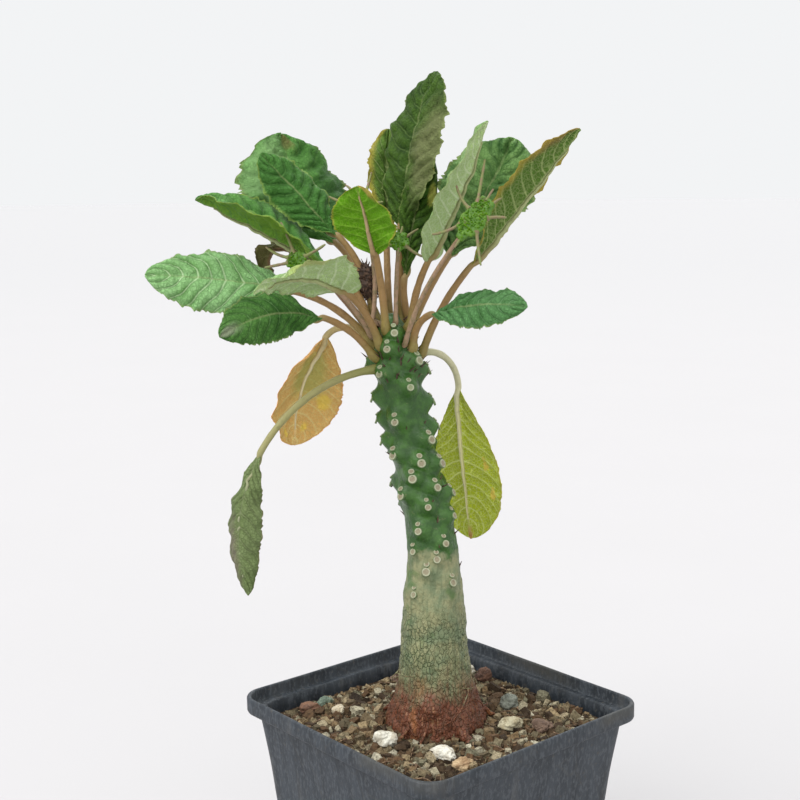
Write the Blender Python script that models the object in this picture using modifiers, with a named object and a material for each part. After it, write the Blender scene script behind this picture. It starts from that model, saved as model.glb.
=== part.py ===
"""Potted dorstenia: a square nursery pot of gritty compost, with a knobbly stem and its crown of leaves.

Run it with: blender --background --python part.py
Metres, +Z up. The origin is the middle of the pot's underside, and the pot's sides face X and Y.
The plant is modelled in its own frame, whose Z is the pot's, and is turned as one about it.
"""

import math
import random
from dataclasses import dataclass

import bmesh
import bpy
from mathutils import Matrix, Vector, noise

MM = 0.001
GAP = 0.3 * MM  # between two pieces that touch

# Pot
POT_HEIGHT = 90 * MM
RIM_SIDE = 95 * MM  # outside the flange
FLANGE_REACH = 3 * MM  # how far the flange stands out from the wall
FLANGE_HEIGHT = 5.5 * MM
BASE_SIDE = 69 * MM
POT_WALL = 1.2 * MM
POT_CORNER = 8 * MM  # radius of the upright corners
CORNER_STEPS = 5
DRAIN_RADIUS = 4 * MM
DRAIN_COUNT = 8
DRAIN_CIRCLE = 24 * MM  # radius of the circle that the drain holes stand on

# Grit: the compost and its loose stones
GRIT_BELOW_RIM = 11 * MM
GRIT_ROUGHNESS = 1.1 * MM
GRIT_RINGS = 9
GRIT_SCALE = 150.0  # how quickly the top of the grit rises and falls, per metre

# Stem
STEM_FOOT = 55 * MM  # height of the buried end
STEM_TOP = 217 * MM
STEM_SIDES = 20
STEM_RINGS = 64
STEM_SOCKET_TOP = 84 * MM  # above the highest grit that the stem's socket has to cut
# Height against radius of the plain stem, without its knobs
STEM_PROFILE = (
    (55, 5.0), (66, 11.5), (74, 16.2), (80, 17.2), (86, 16.0), (91, 13.6), (97, 12.0), (108, 10.9),
    (123, 9.8), (137, 8.5), (152, 7.5), (166, 6.9), (181, 6.5), (195, 6.6), (205, 6.5), (211, 6.0), (217, 4.6),
)  # fmt: skip
# Height against how far the stem's middle has leant to -X in the plant's frame
STEM_LEAN = ((55, 0.5), (80, 0.8), (110, 1.4), (140, 1.5), (152, 3.2), (166, 6.2), (181, 9.4), (195, 12.0), (217, 14.2))

# Knobs that fallen leaves leave behind, one every golden angle up the stem
KNOB_TURN = math.radians(137.5)
KNOB_FIRST_BEARING = math.radians(20)
KNOB_LOWEST = 124 * MM
KNOB_HIGHEST = 206 * MM
KNOB_STEP = 1.75 * MM
KNOB_RISE = 1.5 * MM
KNOB_SPREAD = 1.9 * MM

# Leaves
STALK_RADIUS = 1.1 * MM
STALK_RINGS = 6
BLADE_RINGS = 9
BLADE_THICKNESS = 0.5 * MM
TIP_WIDTH = 0.8 * MM
BLADE_FULLNESS = 0.65  # below 1 makes the blade's ends blunter

# Flower heads
FLOWER_STALK_RADIUS = 0.8 * MM
FLOWER_THICKNESS = 1.6 * MM
ARM_RADIUS = 0.45 * MM
ARM_ROOT = 0.6  # how far out in the disc an arm starts, as a share of its half size

PLANT_TURN = math.radians(-40.7)  # of the plant's frame about the pot's middle
PLANT_LEVEL = 79 * MM  # height of the grit's top in the plant's frame
STONE_FIELD = 87.7 * MM  # outside width of the pot, at the grit's top, that the stones' places suit


@dataclass
class Leaf:
    """One leaf. Angles are degrees in the plant's frame and lengths millimetres.

    height and bearing say where its stalk leaves the stem, turn is how far its heading swings on
    the way to the tip, and rise is its slope at the stem, at the blade and at the tip. roll lifts
    the blade's right side, and fold lifts its left and right halves.
    """

    name: str
    height: float
    bearing: float
    turn: float
    rise: tuple
    stalk: float
    blade: float
    width: float
    roll: float = 0.0
    fold: tuple = (15, 15)
    widest: float = 0.55


LEAVES = (
    Leaf("leaf_back_left_broad", 215, 140, -15, (75, 31, 70), 30, 47, 41, 0, (5, 5), 0.58),
    Leaf("leaf_left_folded", 212, 180, -6, (86, 30, 25), 24, 47, 22, 30, (75, 10)),
    Leaf("leaf_left_inner", 216, 163, 1, (88, 45, 45), 28, 38, 21, 50, (8, -12)),
    Leaf("leaf_left_low_broad", 208, 176, 11, (55, 14, 0), 29, 47, 21, 60, (-5, -5)),
    Leaf("leaf_left_low_dark", 204, 208, 11, (56, 19, -29), 22, 37, 16, 60, (-8, -5)),
    Leaf("leaf_front_left_pale", 208, 233, -7, (57, 30, -22), 28, 31, 27, -60, (-5, -10), 0.35),
    Leaf("leaf_front_bright", 213, 252, -18, (80, 67, 64), 24, 23, 22, 0, (-8, -8)),
    Leaf("leaf_tall_back", 215, 62, -20, (98, 85, 54), 29, 51, 24, 10, (5, 5)),
    Leaf("leaf_thin_back_left", 214, 98, -16, (71, 68, 58), 27, 40, 14, 0, (45, 45), 0.6),
    Leaf("leaf_spotted_back", 211, 76, -24, (78, 63, 65), 18, 42, 14, 20, (0, 5)),
    Leaf("leaf_right_narrow", 214, 325, 16, (84, 60, 70), 21, 45, 20, 0, (22, 18), 0.4),
    Leaf("leaf_back_right_broad", 211, 45, 10, (59, 42, 50), 29, 54, 30, -20, (20, 15), 0.58),
    Leaf("leaf_right_yellowing", 204, 352, 4, (72, 50, 52), 32, 53, 23, 45, (22, 15)),
    Leaf("leaf_right_low", 207, 315, 21, (92, 19, -6), 14, 33, 15, -46, (-5, -5)),
    Leaf("leaf_hanging_orange", 204, 156, -12, (80, -50, -90), 22, 42, 27, -25, (-20, -15)),
    Leaf("leaf_drooping_long", 200, 209, -1, (-1, -57, -109), 48, 46, 14, 30, (-28, -22)),
    Leaf("leaf_hanging_yellow", 203, 37, 8, (20, -86, -81), 25, 53, 27, 15, (15, 8), 0.6),
    Leaf("leaf_withered", 209, 148, 10, (50, 36, -130), 40, 18, 9, 0, (45, 45)),
)


@dataclass
class Flower:
    """One flower head on its stalk. Angles are degrees, lengths millimetres, in the plant's frame.

    facing is the bearing and rise of the way its florets face. wide and tall are the disc's full
    sizes, lean turns it in its own plane, and arms gives each arm's angle round the disc and length.
    """

    name: str
    height: float
    bearing: float
    turn: float
    rise: tuple
    stalk: float
    facing: tuple
    wide: float
    tall: float
    lean: float
    arms: tuple


FLOWERS = (
    Flower("flower_right", 208, 295, 41, (62, 50), 44, (262, 25), 15.5, 9.5, 50,
           ((10, 5), (45, 12), (95, 5), (150, 3), (185, 4), (235, 3), (280, 9), (330, 5))),
    Flower("flower_middle", 215, 280, 0, (84, 84), 25, (90, 75), 6.5, 6.0, 0,
           ((10, 3), (80, 2), (130, 2), (200, 2), (260, 2), (310, 7))),
    Flower("flower_left", 210, 194, 2, (60, 24), 36, (200, 40), 6.5, 6.5, 0,
           ((15, 10), (75, 6), (120, 12), (190, 6), (240, 3), (310, 4))),
    Flower("flower_back", 215, 197, -12, (84, 78), 36, (240, 50), 8, 7, 0,
           ((30, 4), (90, 11), (115, 8), (150, 9), (210, 3), (300, 3))),
)  # fmt: skip


@dataclass
class Stone:
    """One loose stone on the grit. Its place and three sizes are millimetres in the plant's frame."""

    name: str
    across: float
    back: float
    size: tuple
    spin: float
    colour: tuple


STONES = (
    Stone("stone_white_left", -17.5, -20.0, (8.0, 6.5, 6.0), 20, (0.72, 0.70, 0.60)),
    Stone("stone_white_front", 0.5, -29.5, (8.0, 6.0, 5.0), -25, (0.74, 0.72, 0.62)),
    Stone("stone_tan_front", 6.5, -36.5, (6.5, 5.0, 4.5), 15, (0.52, 0.38, 0.22)),
    Stone("stone_grey_right", 24.0, 10.0, (7.5, 6.5, 6.0), 40, (0.30, 0.34, 0.27)),
    Stone("stone_pale_right", 23.5, -7.5, (8.0, 5.5, 5.0), 10, (0.48, 0.44, 0.30)),
    Stone("stone_pale_back", 11.5, 41.0, (6.5, 5.5, 5.0), 0, (0.50, 0.47, 0.38)),
    Stone("stone_rust_back", 17.0, 35.5, (6.0, 5.0, 6.5), 35, (0.22, 0.10, 0.07)),
    Stone("stone_green_left", -38.5, 14.0, (6.0, 5.0, 4.5), 50, (0.24, 0.36, 0.29)),
    Stone("stone_cream_left", -33.5, 8.0, (5.5, 4.5, 4.0), 80, (0.62, 0.56, 0.42)),
    Stone("stone_rust_left", -43.0, 7.0, (7.0, 5.5, 4.5), 15, (0.28, 0.14, 0.08)),
    Stone("stone_bark_back", -12.0, 36.5, (9.0, 5.5, 3.5), 25, (0.16, 0.10, 0.07)),
    Stone("stone_brown_right", 33.0, -9.0, (7.0, 5.5, 5.0), -30, (0.20, 0.13, 0.09)),
)  # fmt: skip


def clear_scene():
    """Empties the scene of what Blender starts with."""
    for old in list(bpy.data.objects):
        bpy.data.objects.remove(old, do_unlink=True)


def material(name, colour, roughness=0.6, metallic=0.0):
    """A plain Principled material."""
    made = bpy.data.materials.new(name)
    made.use_nodes = True
    shader = made.node_tree.nodes["Principled BSDF"]
    shader.inputs["Base Color"].default_value = (*colour, 1.0)
    shader.inputs["Roughness"].default_value = roughness
    shader.inputs["Metallic"].default_value = metallic
    return made


def new_object(name, mesh_or_bmesh, collection, finish=None):
    """An object of this mesh in this collection, shaded smooth with its hard edges kept."""
    mesh = mesh_or_bmesh
    if isinstance(mesh_or_bmesh, bmesh.types.BMesh):
        mesh = bpy.data.meshes.new(name)
        mesh_or_bmesh.to_mesh(mesh)
        mesh_or_bmesh.free()
    mesh.shade_smooth()
    mesh.set_sharp_from_angle(angle=math.radians(40))
    made = bpy.data.objects.new(name, mesh)
    if finish:
        mesh.materials.append(finish)
    collection.objects.link(made)
    return made


def hidden_helper(helper):
    """Marks a cutter or a piece that a Boolean takes in, so that it is no part of the object."""
    helper.hide_render = True
    helper.display_type = "WIRE"
    return helper


def boolean(target, other, operation):
    """Adds an exact Boolean of this object or collection to the target."""
    modifier = target.modifiers.new(f"{operation} {other.name}", "BOOLEAN")
    modifier.operation = operation
    modifier.solver = "EXACT"
    if isinstance(other, bpy.types.Collection):
        modifier.operand_type = "COLLECTION"
        modifier.collection = other
    else:
        modifier.object = other


def along(table, height):
    """Reads a table of (height, value) pairs in millimetres with straight lines between them."""
    at = height / MM
    if at <= table[0][0]:
        return table[0][1] * MM
    for (low, low_value), (high, high_value) in zip(table, table[1:]):
        if at <= high:
            return (low_value + (high_value - low_value) * (at - low) / (high - low)) * MM
    return table[-1][1] * MM


def stem_middle(height):
    """The middle of the stem at this height, in the plant's frame."""
    return Vector((-along(STEM_LEAN, height), 0.0, height))


def loft(rings):
    """A closed solid through these rings of points, each with the same count, capped at both ends."""
    made = bmesh.new()
    rows = [[made.verts.new(point) for point in ring] for ring in rings]
    for low, high in zip(rows, rows[1:]):
        for i in range(len(low)):
            j = (i + 1) % len(low)
            made.faces.new((low[i], low[j], high[j], high[i]))
    made.faces.new(reversed(rows[0]))
    made.faces.new(rows[-1])
    bmesh.ops.recalc_face_normals(made, faces=made.faces)
    return made


def tapered_block(low_side, high_side, low, high, corner):
    """A square block that widens from its foot to its top, with round upright corners."""
    made = bmesh.new()
    bmesh.ops.create_cube(made, size=1.0)
    for vert in made.verts:
        side = high_side if vert.co.z > 0 else low_side
        vert.co = Vector((vert.co.x * side, vert.co.y * side, high if vert.co.z > 0 else low))
    upright = [e for e in made.edges if abs(e.verts[0].co.z - e.verts[1].co.z) > (high - low) / 2]
    bmesh.ops.bevel(made, geom=upright, offset=corner, segments=CORNER_STEPS, profile=0.5, affect="EDGES")
    return made


def top_face(solid):
    """The face whose middle is the highest."""
    return max(solid.faces, key=lambda face: face.calc_center_median().z)


def wall_side(height):
    """The pot's outside width at this height, below its flange."""
    top_side = RIM_SIDE - 2 * FLANGE_REACH
    return BASE_SIDE + (top_side - BASE_SIDE) * height / (POT_HEIGHT - FLANGE_HEIGHT)


def make_pot(collection, cutters, finish):
    """The pot: one thin shell with a flange round its rim and drain holes in its floor."""
    ledge = POT_HEIGHT - FLANGE_HEIGHT
    shell = tapered_block(BASE_SIDE, wall_side(ledge), 0.0, ledge, POT_CORNER)
    bmesh.ops.delete(shell, geom=[top_face(shell)], context="FACES_ONLY")
    for widen, lift in ((RIM_SIDE / wall_side(ledge), 0.0), (1.0, FLANGE_HEIGHT)):
        rim = [edge for edge in shell.edges if edge.is_boundary]
        grown = bmesh.ops.extrude_edge_only(shell, edges=rim)["geom"]
        for vert in (v for v in grown if isinstance(v, bmesh.types.BMVert)):
            vert.co.x *= widen
            vert.co.y *= widen
            vert.co.z += lift
    bmesh.ops.recalc_face_normals(shell, faces=shell.faces)
    floor = min(shell.faces, key=lambda face: face.calc_center_median().z)
    if floor.normal.z > 0:
        bmesh.ops.reverse_faces(shell, faces=shell.faces)
    pot = new_object("pot", shell, collection, finish)
    wall = pot.modifiers.new("Wall", "SOLIDIFY")
    wall.thickness = POT_WALL
    wall.offset = -1.0
    wall.use_even_offset = True
    for i in range(DRAIN_COUNT):
        hole = bmesh.new()
        bmesh.ops.create_cone(
            hole, cap_ends=True, segments=16, radius1=DRAIN_RADIUS, radius2=DRAIN_RADIUS, depth=4 * POT_WALL
        )
        drain = hidden_helper(new_object(f"drain_cutter_{i + 1}", hole, cutters))
        bearing = math.tau * (i + 0.5) / DRAIN_COUNT
        drain.location = (DRAIN_CIRCLE * math.cos(bearing), DRAIN_CIRCLE * math.sin(bearing), POT_WALL / 2)
        boolean(pot, drain, "DIFFERENCE")
    return pot


def grit_height(x, y):
    """How high the top of the grit stands at this place in the pot's frame."""
    roughness = noise.noise(Vector((x * GRIT_SCALE, y * GRIT_SCALE, 0.5)))
    return POT_HEIGHT - GRIT_BELOW_RIM + GRIT_ROUGHNESS * roughness


def make_grit(collection, finish):
    """The compost that fills the pot: a block with a rough top, drawn in ring by ring."""
    inset = POT_WALL + GAP
    top = POT_HEIGHT - GRIT_BELOW_RIM
    foot = POT_WALL + GAP
    low_side = wall_side(foot) - 2 * inset
    high_side = wall_side(top) - 2 * inset
    block = tapered_block(low_side, high_side, foot, top, POT_CORNER - inset / 2)
    face = top_face(block)
    step = high_side / 2 / (GRIT_RINGS + 1)
    for i in range(GRIT_RINGS):
        shrink = (GRIT_RINGS - i) / (GRIT_RINGS + 1 - i)
        bmesh.ops.inset_region(block, faces=[face], thickness=0.0)
        bmesh.ops.scale(block, vec=(shrink, shrink, 1.0), verts=face.verts)
    bmesh.ops.poke(block, faces=[face])
    for vert in block.verts:
        if vert.co.z > top - GAP and max(abs(vert.co.x), abs(vert.co.y)) < high_side / 2 - step / 2:
            vert.co.z = grit_height(vert.co.x, vert.co.y)
    bmesh.ops.triangulate(block, faces=[f for f in block.faces if f.calc_center_median().z > top - 2 * GRIT_ROUGHNESS])
    return new_object("grit", block, collection, finish)


def knobs():
    """The (height, bearing) of each knob, from the lowest up."""
    count = int((KNOB_HIGHEST - KNOB_LOWEST) / KNOB_STEP)
    return [(KNOB_LOWEST + i * KNOB_STEP, KNOB_FIRST_BEARING + i * KNOB_TURN) for i in range(count)]


def knob_rise(height, bearing, radius):
    """How far the knobs lift the stem's skin here."""
    lift = 0.0
    for knob_height, knob_bearing in knobs():
        up = height - knob_height
        if abs(up) > 3 * KNOB_SPREAD:
            continue
        turn = (bearing - knob_bearing + math.pi) % math.tau - math.pi
        distance = math.hypot(up, turn * radius)
        strength = min(1.0, max(0.25, (knob_height - 140 * MM) / (25 * MM)))
        lift = max(lift, KNOB_RISE * strength * math.exp(-((distance / KNOB_SPREAD) ** 2)))
    return lift


def stem_ring(height, grow, with_knobs):
    """One ring of points round the stem."""
    ring = []
    for i in range(STEM_SIDES):
        bearing = math.tau * i / STEM_SIDES
        radius = along(STEM_PROFILE, height)
        if with_knobs:
            radius += knob_rise(height, bearing, radius)
        radius += grow
        outward = Vector((math.cos(bearing), math.sin(bearing), 0.0))
        ring.append(stem_middle(height) + outward * radius)
    return ring


def make_stem(collection, cutters, finish, grit):
    """The stem, and the socket that its buried foot takes up in the grit."""
    heights = [STEM_FOOT + (STEM_TOP - STEM_FOOT) * i / STEM_RINGS for i in range(STEM_RINGS + 1)]
    stem = new_object("stem", loft([stem_ring(h, 0.0, True) for h in heights]), collection, finish)
    steps = 8
    socket_heights = [STEM_FOOT - GAP + (STEM_SOCKET_TOP - STEM_FOOT + GAP) * i / steps for i in range(steps + 1)]
    socket = loft([stem_ring(h, 2 * GAP, False) for h in socket_heights])
    socket = hidden_helper(new_object("socket_cutter", socket, cutters))
    boolean(grit, socket, "DIFFERENCE")
    return stem, socket


def heading(bearing, rise):
    """The unit vector of this bearing and slope, in degrees."""
    b, r = math.radians(bearing), math.radians(rise)
    return Vector((math.cos(b) * math.cos(r), math.sin(b) * math.cos(r), math.sin(r)))


def stalk_start(height, bearing, rise, radius):
    """Where a stalk of this radius leaves the stem, just clear of its skin."""
    out = heading(bearing, 0.0)
    clear = along(STEM_PROFILE, height) + 2 * GAP + radius * abs(math.sin(math.radians(rise)))
    return stem_middle(height) + out * clear


def blade_profile(share, widest):
    """The blade's half width at this share of its length, from 0 at its foot to 1 near its widest."""
    warped = share ** (math.log(0.5) / math.log(widest))
    return max(0.0, math.sin(math.pi * warped)) ** BLADE_FULLNESS


def leaf_sections(leaf):
    """The stations along a leaf: its middle, heading, bearing, half width and share of blade."""
    point = stalk_start(leaf.height * MM, leaf.bearing, leaf.rise[0], STALK_RADIUS)
    total = leaf.stalk + leaf.blade
    stations = []
    steps = STALK_RINGS + BLADE_RINGS
    for i in range(steps + 1):
        on_blade = max(0, i - STALK_RINGS) / BLADE_RINGS
        on_stalk = min(i, STALK_RINGS) / STALK_RINGS
        reached = leaf.stalk * on_stalk + leaf.blade * on_blade
        rise = leaf.rise[0] + (leaf.rise[1] - leaf.rise[0]) * on_stalk + (leaf.rise[2] - leaf.rise[1]) * on_blade
        bearing = leaf.bearing + leaf.turn * reached / total
        if stations:
            last = stations[-1]
            middle = heading((bearing + last[2]) / 2, (rise + last[3]) / 2)
            point = point + middle * (reached - last[4]) * MM
        stations.append((point.copy(), on_blade, bearing, rise, reached))
    return stations


def leaf_ring(leaf, station):
    """Eight points round the leaf here: a round stalk that opens into a folded blade."""
    point, on_blade, bearing, rise, _ = station
    side = Vector((math.sin(math.radians(bearing)), -math.cos(math.radians(bearing)), 0.0))
    ahead = heading(bearing, rise)
    up = side.cross(ahead)
    opened = min(1.0, on_blade * 4)
    roll = math.radians(leaf.roll) * opened
    side, up = side * math.cos(roll) + up * math.sin(roll), up * math.cos(roll) - side * math.sin(roll)
    half = max(TIP_WIDTH, leaf.width / 2 * MM * blade_profile(on_blade, leaf.widest)) if on_blade > 0 else 0.0
    rib = STALK_RADIUS * (1 - 0.7 * on_blade)
    ring = []
    for i, (across, lift) in enumerate(
        ((-1, 0), (-0.5, 1), (0, 1), (0.5, 1), (1, 0), (0.5, -1), (0, -1), (-0.5, -1))
    ):
        angle = math.pi - i * math.pi / 4
        stalk_across = math.cos(angle) * rib
        stalk_up = math.sin(angle) * rib
        fold = math.radians(leaf.fold[0] if across < 0 else leaf.fold[1]) * opened
        blade_across = across * half * math.cos(fold)
        blade_up = abs(across) * half * math.sin(fold) + lift * BLADE_THICKNESS / 2
        if across == 0 and lift < 0:
            blade_up -= rib / 2
        if half > rib:
            ring.append(point + side * blade_across + up * blade_up)
        else:
            ring.append(point + side * stalk_across + up * stalk_up)
    return ring


def make_leaf(leaf, collection, finish, plant):
    """One leaf, stalk and blade in one piece, standing in the plant's frame."""
    stations = leaf_sections(leaf)
    start = stations[0][0]
    rings = [[p - start for p in leaf_ring(leaf, s)] for s in stations]
    made = new_object(leaf.name, loft(rings), collection, finish)
    made.location = start
    made.parent = plant
    return made


def tube(name, points, radius, collection):
    """A closed round tube along these points, as a mesh object."""
    curve = bpy.data.curves.new(name, "CURVE")
    curve.dimensions = "3D"
    curve.bevel_depth = radius
    curve.bevel_resolution = 1
    curve.use_fill_caps = True
    spline = curve.splines.new("POLY")
    spline.points.add(len(points) - 1)
    for spot, point in zip(spline.points, points):
        spot.co = (*point, 1.0)
    guide = bpy.data.objects.new(name + "_curve", curve)
    collection.objects.link(guide)
    bpy.context.view_layer.update()
    graph = bpy.context.evaluated_depsgraph_get()
    mesh = bpy.data.meshes.new_from_object(guide.evaluated_get(graph))
    bpy.data.objects.remove(guide)
    solid = bmesh.new()
    solid.from_mesh(mesh)
    bmesh.ops.remove_doubles(solid, verts=solid.verts, dist=0.01 * MM)
    bmesh.ops.recalc_face_normals(solid, faces=solid.faces)
    return new_object(name, solid, collection)


def flower_stalk_points(flower):
    """The line of a flower's stalk, from the stem to the back of its disc."""
    point = stalk_start(flower.height * MM, flower.bearing, flower.rise[0], FLOWER_STALK_RADIUS)
    points = [point.copy()]
    steps = 8
    for i in range(steps):
        share = (i + 0.5) / steps
        rise = flower.rise[0] + (flower.rise[1] - flower.rise[0]) * share
        point = point + heading(flower.bearing + flower.turn * share, rise) * flower.stalk * MM / steps
        points.append(point.copy())
    return points


def make_flower(flower, collection, cutters, finish, plant):
    """One flower head: a bumpy disc with its arms, grown on its stalk as one piece."""
    points = flower_stalk_points(flower)
    face = heading(*flower.facing)
    across = face.cross(Vector((0, 0, 1))).normalized()
    upward = across.cross(face)
    lean = math.radians(flower.lean)
    wide_way = across * math.cos(lean) + upward * math.sin(lean)
    tall_way = face.cross(wide_way)
    middle = points[-1] + face * FLOWER_THICKNESS * 0.3
    turn = Matrix((wide_way, tall_way, face)).transposed().to_4x4()
    disc = bmesh.new()
    bmesh.ops.create_uvsphere(disc, u_segments=16, v_segments=8, radius=0.5)
    bmesh.ops.scale(disc, vec=(flower.wide * MM, flower.tall * MM, FLOWER_THICKNESS), verts=disc.verts)
    bmesh.ops.transform(disc, matrix=Matrix.Translation(middle) @ turn, verts=disc.verts)
    head = new_object(flower.name, disc, collection, finish)
    stalk = hidden_helper(tube(flower.name + "_stalk", points, FLOWER_STALK_RADIUS, cutters))
    boolean(head, stalk, "UNION")
    for i, (angle, length) in enumerate(flower.arms):
        a = math.radians(angle)
        edge = wide_way * math.cos(a) * flower.wide * MM / 2 + tall_way * math.sin(a) * flower.tall * MM / 2
        tip = middle + edge + edge.normalized() * length * MM
        root = middle + edge * ARM_ROOT
        arm = tube(f"{flower.name}_arm_{i + 1}", (root, tip), ARM_RADIUS, cutters)
        boolean(head, hidden_helper(arm), "UNION")
        arm.parent = plant
    stalk.parent = plant
    head.parent = plant
    return head


def make_stone(stone, collection, plant):
    """One loose stone: a lumpy pebble that rests on the grit."""
    finish = material(stone.name, stone.colour, 0.9)
    lump = bmesh.new()
    bmesh.ops.create_icosphere(lump, subdivisions=2, radius=0.5)
    draw = random.Random(stone.name)
    shift = Vector((draw.random(), draw.random(), draw.random())) * 10
    for vert in lump.verts:
        vert.co *= 1.0 + 0.28 * noise.noise(vert.co * 2.2 + shift)
        vert.co = Vector((vert.co.x * stone.size[0], vert.co.y * stone.size[1], vert.co.z * stone.size[2])) * MM
    made = new_object(stone.name, lump, collection, finish)
    made.parent = plant
    made.rotation_euler.z = math.radians(stone.spin)
    spread = wall_side(POT_HEIGHT - GRIT_BELOW_RIM) / STONE_FIELD
    made.location = (stone.across * MM * spread, stone.back * MM * spread, 0.0)
    spun = Matrix.Rotation(PLANT_TURN, 4, "Z") @ Matrix.Translation(made.location)
    spun = spun @ Matrix.Rotation(math.radians(stone.spin), 4, "Z")
    lift = -1.0
    for vert in made.data.vertices:
        if vert.co.z < 0:
            place = spun @ vert.co
            lift = max(lift, grit_height(place.x, place.y) - vert.co.z)
    made.location.z = lift + 3 * GAP - plant.location.z
    return made


def main():
    """Builds the whole object."""
    clear_scene()
    scene = bpy.context.scene
    parts = bpy.data.collections.new("potted_dorstenia")
    cutters = bpy.data.collections.new("cutters")
    scene.collection.children.link(parts)
    scene.collection.children.link(cutters)
    plant = bpy.data.objects.new("plant", None)
    plant.rotation_euler.z = PLANT_TURN
    plant.location.z = POT_HEIGHT - GRIT_BELOW_RIM - PLANT_LEVEL
    parts.objects.link(plant)

    make_pot(parts, cutters, material("pot plastic", (0.045, 0.05, 0.055), 0.55))
    grit = make_grit(parts, material("grit", (0.20, 0.15, 0.11), 0.95))
    stem, socket = make_stem(parts, cutters, material("stem skin", (0.12, 0.28, 0.10), 0.5), grit)
    stem.parent = plant
    socket.parent = plant
    leaf_green = material("leaf green", (0.10, 0.30, 0.10), 0.5)
    leaf_yellow = material("leaf yellow", (0.55, 0.55, 0.12), 0.5)
    for leaf in LEAVES:
        old = "hanging" in leaf.name or "yellowing" in leaf.name
        make_leaf(leaf, parts, leaf_yellow if old else leaf_green, plant)
    flower_green = material("flower green", (0.30, 0.42, 0.08), 0.6)
    for flower in FLOWERS:
        make_flower(flower, parts, cutters, flower_green, plant)
    for stone in STONES:
        make_stone(stone, parts, plant)


main()
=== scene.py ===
"""Looks of the potted dorstenia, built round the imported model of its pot, grit, stem, leaves and flowers.

Metres, +Z up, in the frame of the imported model: the origin is the middle of the pot's underside.
The plant has a frame of its own, which is turned about the pot's upright axis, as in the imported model.
"""

from __future__ import annotations

import logging
import math
import random
from collections.abc import Sequence
from dataclasses import dataclass, field, replace
from enum import Enum

import bmesh
import bpy
import numpy as np
from mathutils import Matrix, Vector, noise

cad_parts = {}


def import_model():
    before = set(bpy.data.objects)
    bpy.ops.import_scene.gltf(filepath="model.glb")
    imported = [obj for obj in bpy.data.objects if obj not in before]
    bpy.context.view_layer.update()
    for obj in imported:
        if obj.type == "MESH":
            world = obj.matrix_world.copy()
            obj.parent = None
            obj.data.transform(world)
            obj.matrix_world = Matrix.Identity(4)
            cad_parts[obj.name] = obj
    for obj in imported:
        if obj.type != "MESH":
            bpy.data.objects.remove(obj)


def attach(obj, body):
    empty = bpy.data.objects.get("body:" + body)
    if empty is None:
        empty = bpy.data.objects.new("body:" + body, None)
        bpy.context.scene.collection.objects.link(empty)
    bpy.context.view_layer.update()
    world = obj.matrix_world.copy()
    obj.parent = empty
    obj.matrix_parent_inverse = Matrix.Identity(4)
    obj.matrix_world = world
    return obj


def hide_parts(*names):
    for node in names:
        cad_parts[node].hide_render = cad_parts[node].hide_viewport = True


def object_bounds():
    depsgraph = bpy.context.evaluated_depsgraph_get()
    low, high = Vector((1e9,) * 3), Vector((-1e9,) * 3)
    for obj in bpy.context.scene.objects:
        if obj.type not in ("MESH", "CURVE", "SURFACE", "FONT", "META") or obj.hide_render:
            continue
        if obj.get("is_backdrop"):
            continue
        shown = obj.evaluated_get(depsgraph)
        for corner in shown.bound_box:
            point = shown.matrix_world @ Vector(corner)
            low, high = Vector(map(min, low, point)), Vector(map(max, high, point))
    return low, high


LOG = logging.getLogger("dorstenia")
MM = 0.001
BODY = "root"
PLANT_TURN = math.radians(-40.7)

Colour = tuple[float, float, float]
Array = np.ndarray
Socket = bpy.types.NodeSocket
Piece = bpy.types.Object
Material = bpy.types.Material


class Slot(Enum):
    """Names for the material slots that the pieces are listed under."""

    POT = "pot"
    GRIT = "grit"
    BARK = "bark"
    STEM = "stem"
    FLOWER = "flower"
    LEAF_GREEN = "leaf_green"
    LEAF_YELLOW = "leaf_yellow"
    LEAF_DRY = "leaf_dry"
    PEBBLE_PALE = "pebble_pale"
    PEBBLE_DARK = "pebble_dark"


# --- node trees


class Wire:
    """A number in a node tree, which Python's operators extend with Math nodes."""

    def __init__(self, kit: NodeKit, socket: Socket) -> None:
        self.kit = kit
        self.socket = socket

    def join(self, operation: str, *values: float | Wire) -> Wire:
        """Adds a Math node.

        Args:
            operation: the Math node's operation.
            values: its inputs, in order.

        Returns:
            The node's result.
        """
        node = self.kit.add("ShaderNodeMath", {"operation": operation}, dict(enumerate(values)))
        return Wire(self.kit, node.outputs[0])

    def __add__(self, other: float | Wire) -> Wire:
        """self + other."""
        return self.join("ADD", self, other)

    __radd__ = __add__

    def __sub__(self, other: float | Wire) -> Wire:
        """self - other."""
        return self.join("SUBTRACT", self, other)

    def __rsub__(self, other: float | Wire) -> Wire:
        """other - self."""
        return self.join("SUBTRACT", other, self)

    def __mul__(self, other: float | Wire) -> Wire:
        """self * other."""
        return self.join("MULTIPLY", self, other)

    __rmul__ = __mul__

    def __truediv__(self, other: float | Wire) -> Wire:
        """self / other."""
        return self.join("DIVIDE", self, other)

    def __pow__(self, other: float | Wire) -> Wire:
        """self ** other."""
        return self.join("POWER", self, other)

    def __abs__(self) -> Wire:
        """abs(self)."""
        return self.join("ABSOLUTE", self)

    def fract(self) -> Wire:
        """The part after the decimal point."""
        return self.join("FRACT", self)

    def sine(self) -> Wire:
        """sin(self), in radians."""
        return self.join("SINE", self)

    def ramp(self, start: float, end: float) -> Wire:
        """A smooth step along the number.

        Args:
            start: where it is 0.
            end: where it is 1, which may be below start.

        Returns:
            The step, from 0 to 1.
        """
        low, high = min(start, end), max(start, end)
        node = self.kit.add(
            "ShaderNodeMapRange",
            {"interpolation_type": "SMOOTHSTEP"},
            {"Value": self, "From Min": low, "From Max": high},
        )
        rising = Wire(self.kit, node.outputs[0])
        return rising if start < end else 1 - rising


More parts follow.
